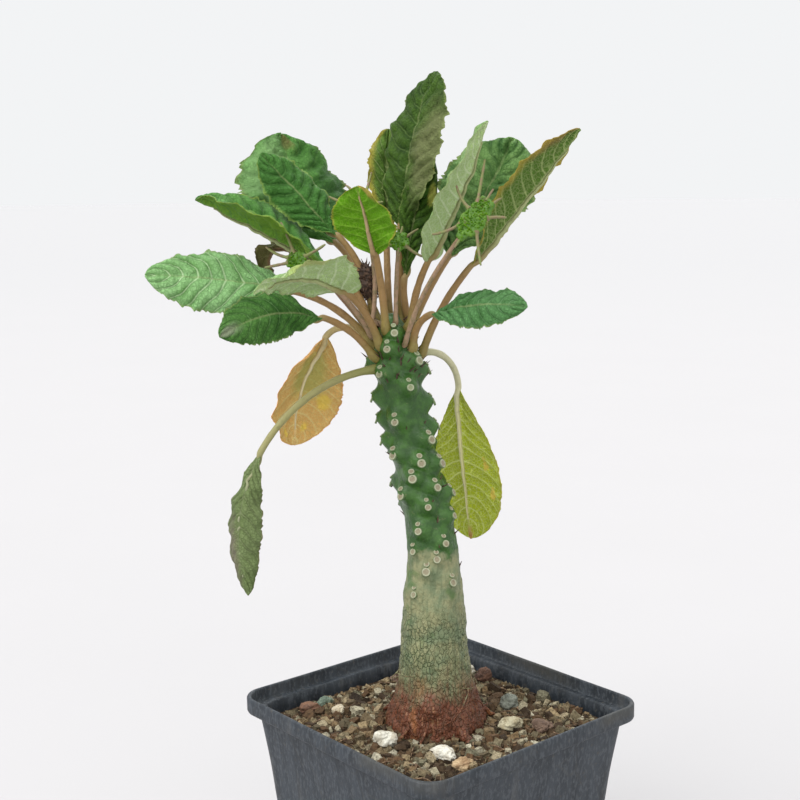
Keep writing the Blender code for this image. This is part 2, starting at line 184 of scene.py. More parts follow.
class NodeKit:
    """A node tree and the calls that build it."""

    def __init__(self, tree: bpy.types.NodeTree) -> None:
        """Takes the tree that nodes are added to."""
        self.tree = tree

    def add(self, kind: str, settings: dict | None = None, inputs: dict | None = None) -> bpy.types.Node:
        """Adds any node.

        Args:
            kind: the node's type.
            settings: its properties, set first; "stops" is a colour ramp's list of (place, colour).
            inputs: values, sockets or wires for its sockets, by name or number.

        Returns:
            The node.
        """
        node = self.tree.nodes.new(kind)
        for key, value in (settings or {}).items():
            if key == "stops":
                elements = node.color_ramp.elements
                for _ in range(len(value) - 2):
                    elements.new(0.5)
                for element, (place, colour) in zip(elements, value):
                    element.position = place
                    element.color = (*colour, 1.0)
            else:
                setattr(node, key, value)
        for key, value in (inputs or {}).items():
            self.feed(node.inputs[key], value)
        return node

    def feed(self, socket: Socket, value: object) -> None:
        """Links or sets one input.

        Args:
            socket: the input.
            value: a wire or socket to link, or a value to set.
        """
        if isinstance(value, Wire):
            value = value.socket
        if isinstance(value, Socket):
            self.tree.links.new(value, socket)
        elif isinstance(value, tuple) and len(value) == 3 and socket.type == "RGBA":
            socket.default_value = (*value, 1.0)
        else:
            socket.default_value = value


class Recipe(NodeKit):
    """One material and its Principled shader."""

    def __init__(self, name: str) -> None:
        """Starts a material of this name."""
        self.material = bpy.data.materials.new(name)
        self.material.use_nodes = True
        super().__init__(self.material.node_tree)
        self.shader = self.tree.nodes["Principled BSDF"]

    def place(self) -> Socket:
        """The point's place on the object, in metres."""
        return self.add("ShaderNodeTexCoord").outputs["Object"]

    def skin(self) -> Socket:
        """The point's place on the piece's own UV map."""
        return self.add("ShaderNodeUVMap", {"uv_map": "UVMap"}).outputs[0]

    def axis(self, name: str) -> Wire:
        """One coordinate of the point's place."""
        node = self.add("ShaderNodeSeparateXYZ", None, {"Vector": self.place()})
        return Wire(self, node.outputs[name])

    def mark(self, name: str) -> Wire:
        """A number that the mesh holds at its points."""
        return Wire(self, self.add("ShaderNodeAttribute", {"attribute_name": name}).outputs["Fac"])

    def stretched(self, scale: Colour, where: Socket | None = None) -> Socket:
        """A place with each axis scaled."""
        return self.add("ShaderNodeMapping", None, {"Vector": where or self.place(), "Scale": scale}).outputs[0]

    def clouds(self, scale: float, detail: float = 3.0, where: Socket | None = None) -> Wire:
        """Soft noise.

        Args:
            scale: how many blobs a metre or a UV unit holds.
            detail: how many finer layers it has.
            where: the place it is read at, or none for the place on the object.

        Returns:
            The noise, from 0 to 1.
        """
        inputs = {"Vector": where or self.place(), "Scale": scale, "Detail": detail, "Roughness": 0.58}
        return Wire(self, self.add("ShaderNodeTexNoise", None, inputs).outputs["Fac"])

    def cells(self, scale: float, edges: bool = False, where: Socket | None = None) -> Wire:
        """Distance from scattered middles, or from the edges of the cells round them.

        Args:
            scale: how many middles a metre or a UV unit holds.
            edges: measures from the cells' edges.
            where: the place it is read at, or none for the place on the object.

        Returns:
            The distance.
        """
        settings = {"feature": "DISTANCE_TO_EDGE" if edges else "F1"}
        node = self.add("ShaderNodeTexVoronoi", settings, {"Vector": where or self.place(), "Scale": scale})
        return Wire(self, node.outputs["Distance"])

    def mix(self, share: float | Wire, low: object, high: object, blend: str = "MIX") -> Socket:
        """Mixes two colours.

        Args:
            share: how much of high there is.
            low: the colour at share 0.
            high: the colour at share 1.
            blend: the Mix node's blend type.

        Returns:
            The mixed colour's socket.
        """
        node = self.add("ShaderNodeMix", {"data_type": "RGBA", "blend_type": blend, "clamp_factor": True})
        self.feed(node.inputs[0], share)
        self.feed(node.inputs[6], low)
        self.feed(node.inputs[7], high)
        return node.outputs[2]

    def spread(self, value: Wire, stops: list[tuple[float, Colour]]) -> Socket:
        """A colour ramp over a number."""
        return self.add("ShaderNodeValToRGB", {"stops": stops}, {"Fac": value}).outputs["Color"]

    def bump(self, height: Wire, depth: float, below: Socket | None = None) -> Socket:
        """Relief.

        Args:
            height: how high each point stands, from 0 to 1.
            depth: the relief's depth in metres.
            below: other relief that it lies on.

        Returns:
            The normal's socket.
        """
        inputs = {"Height": height, "Distance": depth, "Strength": 1.0}
        if below is not None:
            inputs["Normal"] = below
        return self.add("ShaderNodeBump", None, inputs).outputs["Normal"]

    def finish(self, **sockets: object) -> Material:
        """Feeds the shader.

        Args:
            sockets: values for its inputs, with _ for a space in their names.

        Returns:
            The material.
        """
        for name, value in sockets.items():
            self.feed(self.shader.inputs[name.replace("_", " ")], value)
        return self.material


class Repeater(NodeKit):
    """A Geometry Nodes tree that repeats a small shape over a surface or on a mesh's points."""

    def __init__(self, name: str) -> None:
        """Starts a tree with a geometry input and output."""
        super().__init__(bpy.data.node_groups.new(name, "GeometryNodeTree"))
        self.tree.interface.new_socket("Geometry", in_out="INPUT", socket_type="NodeSocketGeometry")
        self.tree.interface.new_socket("Geometry", in_out="OUTPUT", socket_type="NodeSocketGeometry")
        self.entry = self.add("NodeGroupInput")
        self.end = self.add("NodeGroupOutput")
        self.sizes: dict[str, float] = {}

    def size(self, name: str, value: float) -> Wire:
        """Adds a named input.

        Args:
            name: the input's name.
            value: the value that it is given.

        Returns:
            The input.
        """
        self.tree.interface.new_socket(name, in_out="INPUT", socket_type="NodeSocketFloat")
        self.sizes[name] = value
        return Wire(self, self.entry.outputs[name])

    def surface(self) -> Socket:
        """The geometry that the tree works on."""
        return self.entry.outputs["Geometry"]

    def held(self, name: str, kind: str = "FLOAT") -> Socket:
        """A number or vector that the mesh's points hold."""
        return self.add("GeometryNodeInputNamedAttribute", {"data_type": kind}, {"Name": name}).outputs[0]

    def above(self, name: str, limit: float) -> Socket:
        """Whether a number that the points hold is above this limit."""
        settings = {"data_type": "FLOAT", "operation": "GREATER_THAN"}
        return self.add("FunctionNodeCompare", settings, {0: self.held(name), 1: limit}).outputs[0]

    def draw(self, low: float, high: float, seed: int) -> Wire:
        """A random number for each point.

        Args:
            low: the least.
            high: the most.
            seed: the draw's seed.

        Returns:
            The number.
        """
        inputs = {"Min": low, "Max": high, "Seed": seed}
        node = self.add("FunctionNodeRandomValue", {"data_type": "FLOAT"})
        for socket in node.inputs:
            if socket.enabled and socket.name in inputs:
                self.feed(socket, inputs[socket.name])
        return Wire(self, next(s for s in node.outputs if s.enabled))

    def vector(self, x: object, y: object, z: object) -> Socket:
        """A vector of three numbers."""
        return self.add("ShaderNodeCombineXYZ", None, {0: x, 1: y, 2: z}).outputs[0]

    def store(self, geometry: Socket, name: str, value: Wire) -> Socket:
        """Writes a number to the geometry's points.

        Args:
            geometry: the geometry.
            name: the number's name.
            value: the number.

        Returns:
            The geometry that holds it.
        """
        settings = {"data_type": "FLOAT", "domain": "POINT"}
        inputs = {"Geometry": geometry, "Name": name, "Value": value}
        return self.add("GeometryNodeStoreNamedAttribute", settings, inputs).outputs[0]

    def strew(self, distance: float | Wire, density: float | Wire, seed: int, where: object = True) -> object:
        """Strews points over the surface.

        Args:
            distance: how far apart they are at least, in metres.
            density: how many a square metre holds at most.
            seed: the scatter's seed.
            where: the selection that they keep to.

        Returns:
            The node, with its points and their turns.
        """
        settings = {"distribute_method": "POISSON"}
        inputs = {
            "Mesh": self.surface(),
            "Selection": where,
            "Distance Min": distance,
            "Density Max": density,
            "Seed": seed,
        }
        return self.add("GeometryNodeDistributePointsOnFaces", settings, inputs)

    def tumble(self, seed: int) -> Socket:
        """A random turn for each point."""
        turns = [self.draw(0.0, math.tau, seed + i) for i in range(3)]
        return self.vector(*turns)

    def pose(self, way: Socket) -> Socket:
        """The turn that brings a shape's Z along this way."""
        return self.add("FunctionNodeAlignRotationToVector", {"axis": "Z"}, {"Vector": way}).outputs[0]

    def plant(self, points: Socket, shape: Socket, turn: object, scale: object) -> Socket:
        """Puts a shape on each point, as real mesh.

        Args:
            points: the points.
            shape: the shape.
            turn: its turn at each point.
            scale: its scale at each point.

        Returns:
            The placed shapes.
        """
        inputs = {"Points": points, "Instance": shape, "Rotation": turn, "Scale": scale}
        placed = self.add("GeometryNodeInstanceOnPoints", None, inputs)
        return self.add("GeometryNodeRealizeInstances", None, {0: placed.outputs[0]}).outputs[0]

    def swell(self, geometry: Socket, scale: float, depth: float | Wire) -> Socket:
        """Pushes points in and out along their normals by noise.

        Args:
            geometry: the geometry.
            scale: how many blobs a metre holds.
            depth: how far it pushes, in metres.

        Returns:
            The rougher geometry.
        """
        place = self.add("GeometryNodeInputPosition").outputs[0]
        texture = self.add("ShaderNodeTexNoise", None, {"Vector": place, "Scale": scale, "Detail": 1.5})
        push = (Wire(self, texture.outputs["Fac"]) - 0.5) * depth
        normal = self.add("GeometryNodeInputNormal").outputs[0]
        offset = self.add("ShaderNodeVectorMath", {"operation": "SCALE"}, {0: normal, "Scale": push}).outputs[0]
        return self.add("GeometryNodeSetPosition", None, {"Geometry": geometry, "Offset": offset}).outputs[0]

    def run(self, shown: Piece, result: Socket, material: Material, keep: bool = False) -> Piece:
        """Ends the tree in this result and its material, and turns the object into what it makes.

        Args:
            shown: the object whose mesh is the tree's surface or points.
            result: the geometry to end with.
            material: its material.
            keep: the surface stays in the result, with its own materials.

        Returns:
            The object, with a plain mesh.
        """
        dressed = self.add("GeometryNodeSetMaterial", None, {"Geometry": result, "Material": material}).outputs[0]
        if keep:
            union = self.add("GeometryNodeJoinGeometry")
            self.tree.links.new(dressed, union.inputs[0])
            self.tree.links.new(self.surface(), union.inputs[0])
            dressed = union.outputs[0]
        self.tree.links.new(dressed, self.end.inputs[0])
        modifier = shown.modifiers.new(self.tree.name, "NODES")
        modifier.node_group = self.tree
        for item in self.tree.interface.items_tree:
            if item.in_out == "INPUT" and item.name in self.sizes:
                modifier[item.identifier] = self.sizes[item.name]
        return settle(shown)


# --- mesh tools


class Lattice:
    """Gathers closed lofts into one mesh, with a UV map and numbers at its points."""

    def __init__(self) -> None:
        """Starts an empty mesh."""
        self.points: list[Array] = []
        self.faces: list[tuple[int, ...]] = []
        self.slots: list[int] = []
        self.uv: list[Array] = []
        self.marks: dict[str, list[Array]] = {}
        self.count = 0

    def loft(self, rings: Array, uv: Array, slot: int = 0, **marks: Array) -> None:
        """Adds a closed loft.

        Args:
            rings: points, as (ring, point in ring, xyz).
            uv: the same for the UV map, as (ring, point in ring, uv).
            slot: the material slot of its faces.
            marks: numbers at its points, each as (ring, point in ring).
        """
        rows, columns = rings.shape[:2]
        start = self.count
        ids = start + np.arange(rows * columns).reshape(rows, columns)
        after = np.roll(ids, -1, axis=1)
        sides = np.stack([ids[:-1], after[:-1], after[1:], ids[1:]], -1).reshape(-1, 4)
        self.faces.extend(map(tuple, sides.tolist()))
        low, high = start + rows * columns, start + rows * columns + 1
        self.faces.extend((low, int(b), int(a)) for a, b in zip(ids[0], after[0]))
        self.faces.extend((high, int(a), int(b)) for a, b in zip(ids[-1], after[-1]))
        self.slots.extend([slot] * (len(sides) + 2 * columns))
        ends = np.array([rings[0].mean(0), rings[-1].mean(0)])
        self.points.append(np.concatenate([rings.reshape(-1, 3), ends]))
        self.uv.append(np.concatenate([uv.reshape(-1, 2), [uv[0].mean(0), uv[-1].mean(0)]]))
        for name in set(self.marks) | set(marks):
            known = self.marks.setdefault(name, [np.zeros(start)] if start else [])
            values = marks.get(name, np.zeros((rows, columns)))
            known.append(np.concatenate([values.reshape(-1), [values[0].mean(), values[-1].mean()]]))
        self.count += rows * columns + 2

    def tube(self, line: Array, radii: Array, slot: int = 0, sides: int = 12, **marks: Array) -> None:
        """Adds a round tube along a line.

        Args:
            line: the tube's middle, as (station, xyz).
            radii: its radius at each station.
            slot: the material slot of its faces.
            sides: how many points go round it.
            marks: numbers at each station.
        """
        ahead = unit(np.gradient(line, axis=0))
        helper = np.array([0.0, 0.0, 1.0]) if abs(ahead[0][2]) < 0.9 else np.array([1.0, 0.0, 0.0])
        side = unit(np.cross(ahead[0], helper))
        across = []
        for way in ahead:
            side = unit(side - way * np.dot(side, way))
            across.append(side)
        side_way = np.array(across)
        up_way = np.cross(side_way, ahead)
        angle = np.linspace(0, math.tau, sides, endpoint=False)
        ring = side_way[:, None] * np.cos(angle)[None, :, None] + up_way[:, None] * np.sin(angle)[None, :, None]
        rings = line[:, None] + ring * radii[:, None, None]
        reach = np.concatenate([[0.0], np.cumsum(np.linalg.norm(np.diff(line, axis=0), axis=1))]) / MM
        uv = joined((angle * radii.mean() / MM)[None, :], reach[:, None])
        spread = {name: np.repeat(values[:, None], sides, 1) for name, values in marks.items()}
        self.loft(rings, uv, slot, **spread)

    def build(self, name: str, materials: Sequence[Material], sharp: float = 60.0) -> Piece:
        """Makes the mesh and its object, with its faces turned outwards.

        Args:
            name: the object's name.
            materials: its material slots, in order.
            sharp: the angle in degrees past which an edge is sharp.

        Returns:
            The object.
        """
        mesh = bpy.data.meshes.new(name)
        mesh.from_pydata(np.concatenate(self.points).tolist(), [], self.faces)
        layer = mesh.uv_layers.new(name="UVMap")
        corners = np.empty(len(mesh.loops), int)
        mesh.loops.foreach_get("vertex_index", corners)
        layer.data.foreach_set("uv", np.concatenate(self.uv)[corners].astype(np.float32).ravel())
        for mark, values in self.marks.items():
            store = mesh.attributes.new(mark, "FLOAT", "POINT")
            store.data.foreach_set("value", np.concatenate(values).astype(np.float32))
        mesh.polygons.foreach_set("material_index", self.slots)
        for material in materials:
            mesh.materials.append(material)
        solid = bmesh.new()
        solid.from_mesh(mesh)
        bmesh.ops.recalc_face_normals(solid, faces=solid.faces)
        solid.to_mesh(mesh)
        solid.free()
        return show(name, mesh, sharp)


def show(name: str, mesh: bpy.types.Mesh, sharp: float = 60.0) -> Piece:
    """Links a smooth-shaded object of a mesh to the scene.

    Args:
        name: the object's name.
        mesh: its mesh.
        sharp: the angle in degrees past which an edge is sharp.

    Returns:
        The object.
    """
    mesh.shade_smooth()
    mesh.set_sharp_from_angle(angle=math.radians(sharp))
    shown = bpy.data.objects.new(name, mesh)
    bpy.context.scene.collection.objects.link(shown)
    return shown


def settle(shown: Piece) -> Piece:
    """Replaces an object's mesh with what its modifiers make of it.

    Args:
        shown: the object, which loses its modifiers.

    Returns:
        The same object.
    """
    bpy.context.view_layer.update()
    graph = bpy.context.evaluated_depsgraph_get()
    done = bpy.data.meshes.new_from_object(shown.evaluated_get(graph), depsgraph=graph)
    shown.modifiers.clear()
    shown.data = done
    return shown


def dots(name: str, places: Array, **held: Array) -> Piece:
    """Loose points for a Repeater to work on.

    Args:
        name: the object's name.
        places: the points.
        held: numbers or vectors that the points hold.

    Returns:
        The object.
    """
    mesh = bpy.data.meshes.new(name)
    mesh.from_pydata(places.tolist(), [], [])
    for mark, values in held.items():
        if values.ndim == 2:
            mesh.attributes.new(mark, "FLOAT_VECTOR", "POINT").data.foreach_set("vector", values.ravel())
        else:
            mesh.attributes.new(mark, "FLOAT", "POINT").data.foreach_set("value", values)
    shown = bpy.data.objects.new(name, mesh)
    bpy.context.scene.collection.objects.link(shown)
    return shown


def hand_over(piece: Piece, slot: Slot, *nodes: str) -> None:
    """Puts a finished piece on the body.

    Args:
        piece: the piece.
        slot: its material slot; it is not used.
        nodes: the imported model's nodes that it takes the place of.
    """
    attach(piece, BODY)
    if nodes:
        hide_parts(*nodes)
    LOG.info("%s: %d faces", piece.name, len(piece.data.polygons))


def turned(points: Array) -> Array:
    """Turns points from the plant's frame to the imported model's."""
    c, s = math.cos(PLANT_TURN), math.sin(PLANT_TURN)
    return points @ np.array([[c, s, 0.0], [-s, c, 0.0], [0.0, 0.0, 1.0]])


def unit(vectors: Array) -> Array:
    """Scales each vector to length 1."""
    return vectors / np.maximum(np.linalg.norm(vectors, axis=-1, keepdims=True), 1e-12)


def joined(*parts: Array) -> Array:
    """Arrays side by side as one, each spread to the same shape."""
    return np.stack(np.broadcast_arrays(*parts), -1)


def at_height(outline: Array, height: float) -> Array:
    """A flat outline's points at this height."""
    return np.column_stack([outline, np.full(len(outline), height)])


def smooth(values: Array, low: float, high: float) -> Array:
    """A smooth step from 0 at low to 1 at high."""
    share = np.clip((values - low) / (high - low), 0.0, 1.0)
    return share * share * (3 - 2 * share)


def rough(points: Array, scale: float, seed: float = 0.0, octaves: int = 3) -> Array:
    """Soft noise of about -1 to 1.

    Args:
        points: where it is read.
        scale: how many blobs a metre holds.
        seed: shifts the noise.
        octaves: how many layers it has.

    Returns:
        The noise at each point.
    """
    flat = points.reshape(-1, 3) * scale + seed
    found = [noise.fractal(Vector(p), 1.0, 2.0, octaves) for p in flat]
    return np.array(found).reshape(points.shape[:-1])


def aim(bearing: Array | float, rise: Array | float) -> Array:
    """Unit vectors of these bearings and slopes, in degrees."""
    b, r = np.radians(bearing), np.radians(rise)
    return joined(np.cos(b) * np.cos(r), np.sin(b) * np.cos(r), np.sin(r))


# --- the stem, which the leaves start from


@dataclass
class Stem:
    """The knobbly stem. Lengths are millimetres and bearings degrees, in the plant's frame."""

    profile: tuple = (
        (55, 5.0), (66, 11.5), (74, 16.2), (80, 17.2), (86, 16.0), (91, 13.6), (97, 12.0), (108, 10.9), (123, 9.8),
        (137, 8.5), (152, 7.5), (166, 6.9), (181, 6.5), (195, 6.6), (205, 6.5), (211, 6.0), (217, 4.6),
    )  # fmt: skip
    lean: tuple = (
        (55, 0.5), (80, 0.8), (110, 1.4), (140, 1.5), (152, 3.2), (166, 6.2), (181, 9.4), (195, 12.0), (217, 14.2),
    )  # fmt: skip
    scars: tuple = (
        (122, 286), (128, 229), (132, 307), (136, 255), (140, 276), (142, 228), (145, 297), (149, 247),
        (153, 330), (157, 275), (160, 226), (160, 344), (163, 301), (166, 258), (170, 328), (171, 281),
        (173, 227), (176, 180), (178, 313), (181, 0), (184, 248), (189, 0), (190, 180), (195, 290),
        (199, 0), (199, 234), (203, 316), (207, 255), (212, 272),
    )  # fmt: skip
    foot: float = 55.0
    top: float = 217.0
    sides: int = 168
    rings: int = 420
    knob_rise: float = 2.9
    knob_spread: float = 3.3
    scar_size: float = 1.35
    scar_thickness: float = 0.42
    lowest_scar: float = 128.0
    lump_height: float = 92.0
    lump_bearing: float = 262.0
    lump_size: float = 2.6
    lump_spread: float = 3.2
    line: Array = field(init=False)
    girth: Array = field(init=False)
    sway: Array = field(init=False)

    def __post_init__(self) -> None:
        """Rounds off the corners of the profile and the lean."""
        self.line = np.linspace(self.foot, self.top, 325)
        kernel = np.hanning(15) / np.hanning(15).sum()
        tables = []
        for table in (self.profile, self.lean):
            values = np.interp(self.line, *zip(*table))
            tables.append(np.convolve(np.pad(values, 7, mode="edge"), kernel, mode="valid"))
        self.girth, self.sway = tables

    def radius(self, height: Array) -> Array:
        """The plain stem's radius at each height."""
        return np.interp(height, self.line, self.girth)

    def middle(self, height: Array) -> Array:
        """The stem's middle at each height."""
        height = np.asarray(height, float)
        return np.stack([-np.interp(height, self.line, self.sway), np.zeros_like(height), height], -1)

    def knobs(self) -> list[tuple[float, float]]:
        """The scars that show, and as many again behind them wherever there is room.

        Returns:
            Each knob's height and bearing.
        """
        found = [(float(h), float(b)) for h, b in self.scars]
        for h, b in self.scars:
            new = (h + 2.0, (b + 176.0) % 360)
            if new[0] < 214 and all(self.apart(new, old) > 4.6 for old in found):
                found.append(new)
        return found

    def apart(self, first: tuple[float, float], second: tuple[float, float]) -> float:
        """How far apart two places on the skin are."""
        turn = (first[1] - second[1] + 180) % 360 - 180
        return math.hypot(first[0] - second[0], math.radians(turn) * float(self.radius(first[0])))

    def skin(self, height: Array, bearing: Array) -> tuple[Array, Array]:
        """The skin with its knobs, bark and lump.

        Args:
            height: heights.
            bearing: bearings, one for each height.

        Returns:
            The points, and how much each belongs to a knob.
        """
        plain = self.radius(height)
        lift = np.zeros(np.broadcast(height, bearing).shape)
        for h, b in self.knobs():
            turn = (bearing - b + 180) % 360 - 180
            away = np.hypot(height - h, np.radians(turn) * plain)
            strength = np.interp(h, (118, 140, 160, 205), (0.22, 0.4, 1.0, 1.15))
            shape = np.exp(-((away / self.knob_spread) ** 2.2))
            lift = np.maximum(lift, strength * shape)
        flat = aim(bearing, np.zeros_like(height))
        spot = self.middle(height) + flat * plain[..., None]
        bark = rough(spot, 0.17, 3.0) * np.interp(height, (80, 95, 140, 160), (1.0, 0.7, 0.4, 0.15))
        cracks = np.abs(rough(spot * np.array([1.0, 1.0, 0.5]), 0.8, 9.0))
        cracked = np.interp(height, (86, 118, 146, 152), (0.5, 0.22, 0.15, 0.0))
        bark = bark - (1 - smooth(cracks, 0.0, 0.16)) * cracked
        beside = np.radians((bearing - self.lump_bearing + 180) % 360 - 180) * plain
        away = np.hypot(height - self.lump_height, beside)
        lump = self.lump_size * np.exp(-(away / self.lump_spread) ** 2)
        reach = plain + self.knob_rise * lift + bark + lump
        tilt = lift[..., None] * np.array([0.0, 0.0, 0.45])
        return self.middle(height) + flat * reach[..., None] + tilt, lift

    def build(self) -> list[Piece]:
        """Builds the stem.

        Returns:
            Its skin, its scars and its dry spikes.
        """
        height = np.linspace(self.foot, self.top, self.rings)[:, None]
        bearing = np.linspace(0, 360, self.sides, endpoint=False)[None, :]
        height, bearing = np.broadcast_arrays(height, bearing)
        points, lift = self.skin(height, bearing)
        crown = smooth(height, self.top - 7, self.top)[..., None]
        points = points + (self.middle(height) - points) * crown * np.array([0.55, 0.55, 0.0])
        uv = np.stack([np.radians(bearing) * 8, height], -1)
        lattice = Lattice()
        lattice.loft(turned(points * MM), uv, knob=lift)
        self.roots(lattice)
        trunk = lattice.build("fine_stem", [StemSkin().dress()], 70)
        return [trunk, self.scar_rings(), self.spikes()]

    def roots(self, lattice: Lattice) -> None:
        """Adds a root stub, a loose fibre and the wisps at the stem's foot.

        Args:
            lattice: the stem's mesh.
        """
        lines = [
            ([(6, -10, 86), (8, -15, 83), (10, -18, 79.5), (11, -19, 77)], 2.2),
            ([(0, -15, 86), (4, -16.5, 88.5), (7, -15, 92), (9, -12, 96)], 0.35),
            ([(-9, -12, 86), (-12, -15, 83), (-16, -18, 80.5)], 0.8),
            ([(-4, -15, 86), (-6, -18, 82.5), (-7, -21, 80)], 0.6),
            ([(14, 2, 86), (17.5, 3, 83), (21, 6, 80)], 0.9),
            ([(-13, 5, 87), (-17, 7, 84), (-20, 11, 80)], 0.9),
            ([(3, 14, 87), (4, 18, 84), (8, 22, 80)], 0.8),
        ]
        draw = random.Random(31)
        for i in range(26):
            b = draw.uniform(0, 360)
            h = draw.uniform(83, 104)
            start = self.middle(h) + aim(b, 0.0) * float(self.radius(h))
            out = aim(b, 0.0)
            way = np.array([out[1], -out[0], 0.0]) * draw.uniform(-5, 5)
            drop = np.array([0, 0, draw.uniform(-7, 2)])
            far = start + out * draw.uniform(1.2, 3.5) + way + drop
            bowed = (start + far) / 2 + out * 0.9
            lines.append(([tuple(start), tuple(bowed), tuple(far)], draw.uniform(0.14, 0.3)))
        for path, girth in lines:
            spot = np.array(path, float)
            at = np.linspace(0, len(spot) - 1, 18)
            line = np.stack([np.interp(at, range(len(spot)), spot[:, k]) for k in range(3)], -1)
            line[1:-1] = (line[:-2] + 2 * line[1:-1] + line[2:]) / 4
            line += rough(line, 0.4, girth)[:, None] * girth * 0.5
            radii = girth * np.linspace(1.0, 0.4, 18) * (1 + 0.25 * rough(line, 0.7, 5.0))
            lattice.tube(turned(line * MM), radii * MM, 0, 10)

    def scar_rings(self) -> Piece:
        """The pale-rimmed scars: a small one above a larger one on each knob.

        Returns:
            The scars as one object.
        """
        places, ways, sizes, tints = [], [], [], []
        draw = random.Random(8)
        for h, b in self.knobs():
            if h < self.lowest_scar:
                continue
            pick = draw.uniform(0.82, 1.12)
            for up, share in ((-0.6, 1.0), (1.75, 0.7)):
                spot, _ = self.skin(np.array([[h + up]]), np.array([[b]]))
                tilt = 22.0 if share == 1.0 else 48.0
                places.append(spot[0, 0] - aim(b, tilt) * 0.04)
                ways.append(aim(b, tilt))
                sizes.append(share * pick * self.scar_size)
                tints.append(draw.random() * 0.5 + (0.5 if h > 185 else 0.0))
        spots = turned(np.array(places) * MM)
        held = {"way": turned(np.array(ways)), "span": np.array(sizes), "tint": np.array(tints)}
        points = dots("fine_stem_scars", spots, **held)
        kit = Repeater("scar rings")
        thick = kit.size("Thickness", self.scar_thickness * MM)
        disc = kit.add("GeometryNodeMeshCylinder", None, {"Vertices": 14, "Fill Segments": 5})
        for key, value in (("Radius", MM), ("Depth", thick)):
            kit.feed(disc.inputs[key], value)
        place = kit.add("GeometryNodeInputPosition").outputs[0]
        parts = kit.add("ShaderNodeSeparateXYZ", None, {0: place})
        out = ((Wire(kit, parts.outputs[0]) ** 2 + Wire(kit, parts.outputs[1]) ** 2) ** 0.5) / MM
        ring = out.ramp(0.5, 0.76) * out.ramp(1.02, 0.84)
        raised = Wire(kit, parts.outputs[2]).ramp(0.0, 0.1 * MM) * (ring * 0.16 + out.ramp(0.5, 0.0) * 0.1) * MM
        shape = kit.store(disc.outputs["Mesh"], "ring", ring)
        shape = kit.store(shape, "wall", out)
        offset = kit.vector(0.0, 0.0, raised)
        shape = kit.add("GeometryNodeSetPosition", None, {"Geometry": shape, "Offset": offset}).outputs[0]
        turn = kit.pose(kit.held("way", "FLOAT_VECTOR"))
        result = kit.plant(kit.surface(), shape, turn, kit.held("span"))
        rings = kit.run(points, kit.swell(result, 900.0, 0.25 * MM), ScarSkin().dress())
        rings.data.shade_smooth()
        return rings

    def spikes(self) -> Piece:
        """Dry dark stipules: a few on the stem, and a thicket between the stalks at the crown.

        Returns:
            The stipules as one object.
        """
        spots, ways, spans = [], [], []
        draw = random.Random(5)
        low = [(151, 292, 3.2), (143, 285, 2.6), (146, 344, 3.0), (135, 345, 2.6), (162, 321, 3.0), (172, 200, 2.8)]
        low += [(draw.uniform(150, 200), draw.uniform(0, 360), draw.uniform(1.4, 2.6)) for _ in range(12)]
        low += [(draw.uniform(196, 216), draw.uniform(0, 360), draw.uniform(1.8, 3.8)) for _ in range(60)]
        for h, b, span in low:
            spot, _ = self.skin(np.array([[h]]), np.array([[b]]))
            spots.append(spot[0, 0] - aim(b, 0.0) * 0.3)
            ways.append(aim(b + draw.uniform(-25, 25), draw.uniform(25, 70)))
            spans.append(span)
        held = {"way": turned(np.array(ways)), "span": np.array(spans)}
        points = dots("fine_stem_spikes", turned(np.array(spots) * MM), **held)
        kit = Repeater("dry spikes")
        wide = kit.size("Width", 0.3 * MM)
        cone = kit.add("GeometryNodeMeshCone", None, {"Vertices": 6, "Side Segments": 3})
        for key, value in (("Radius Top", 0.03 * MM), ("Radius Bottom", wide), ("Depth", MM)):
            kit.feed(cone.inputs[key], value)
        turn = kit.pose(kit.held("way", "FLOAT_VECTOR"))
        scale = kit.vector(1.2, 1.0, kit.held("span"))
        result = kit.plant(kit.surface(), cone.outputs["Mesh"], turn, scale)
        finish = DrySkin("dry stipule", (0.045, 0.022, 0.014), (0.13, 0.07, 0.04), 0.7).dress()
        return kit.run(points, kit.swell(result, 500.0, 0.5 * MM), finish)


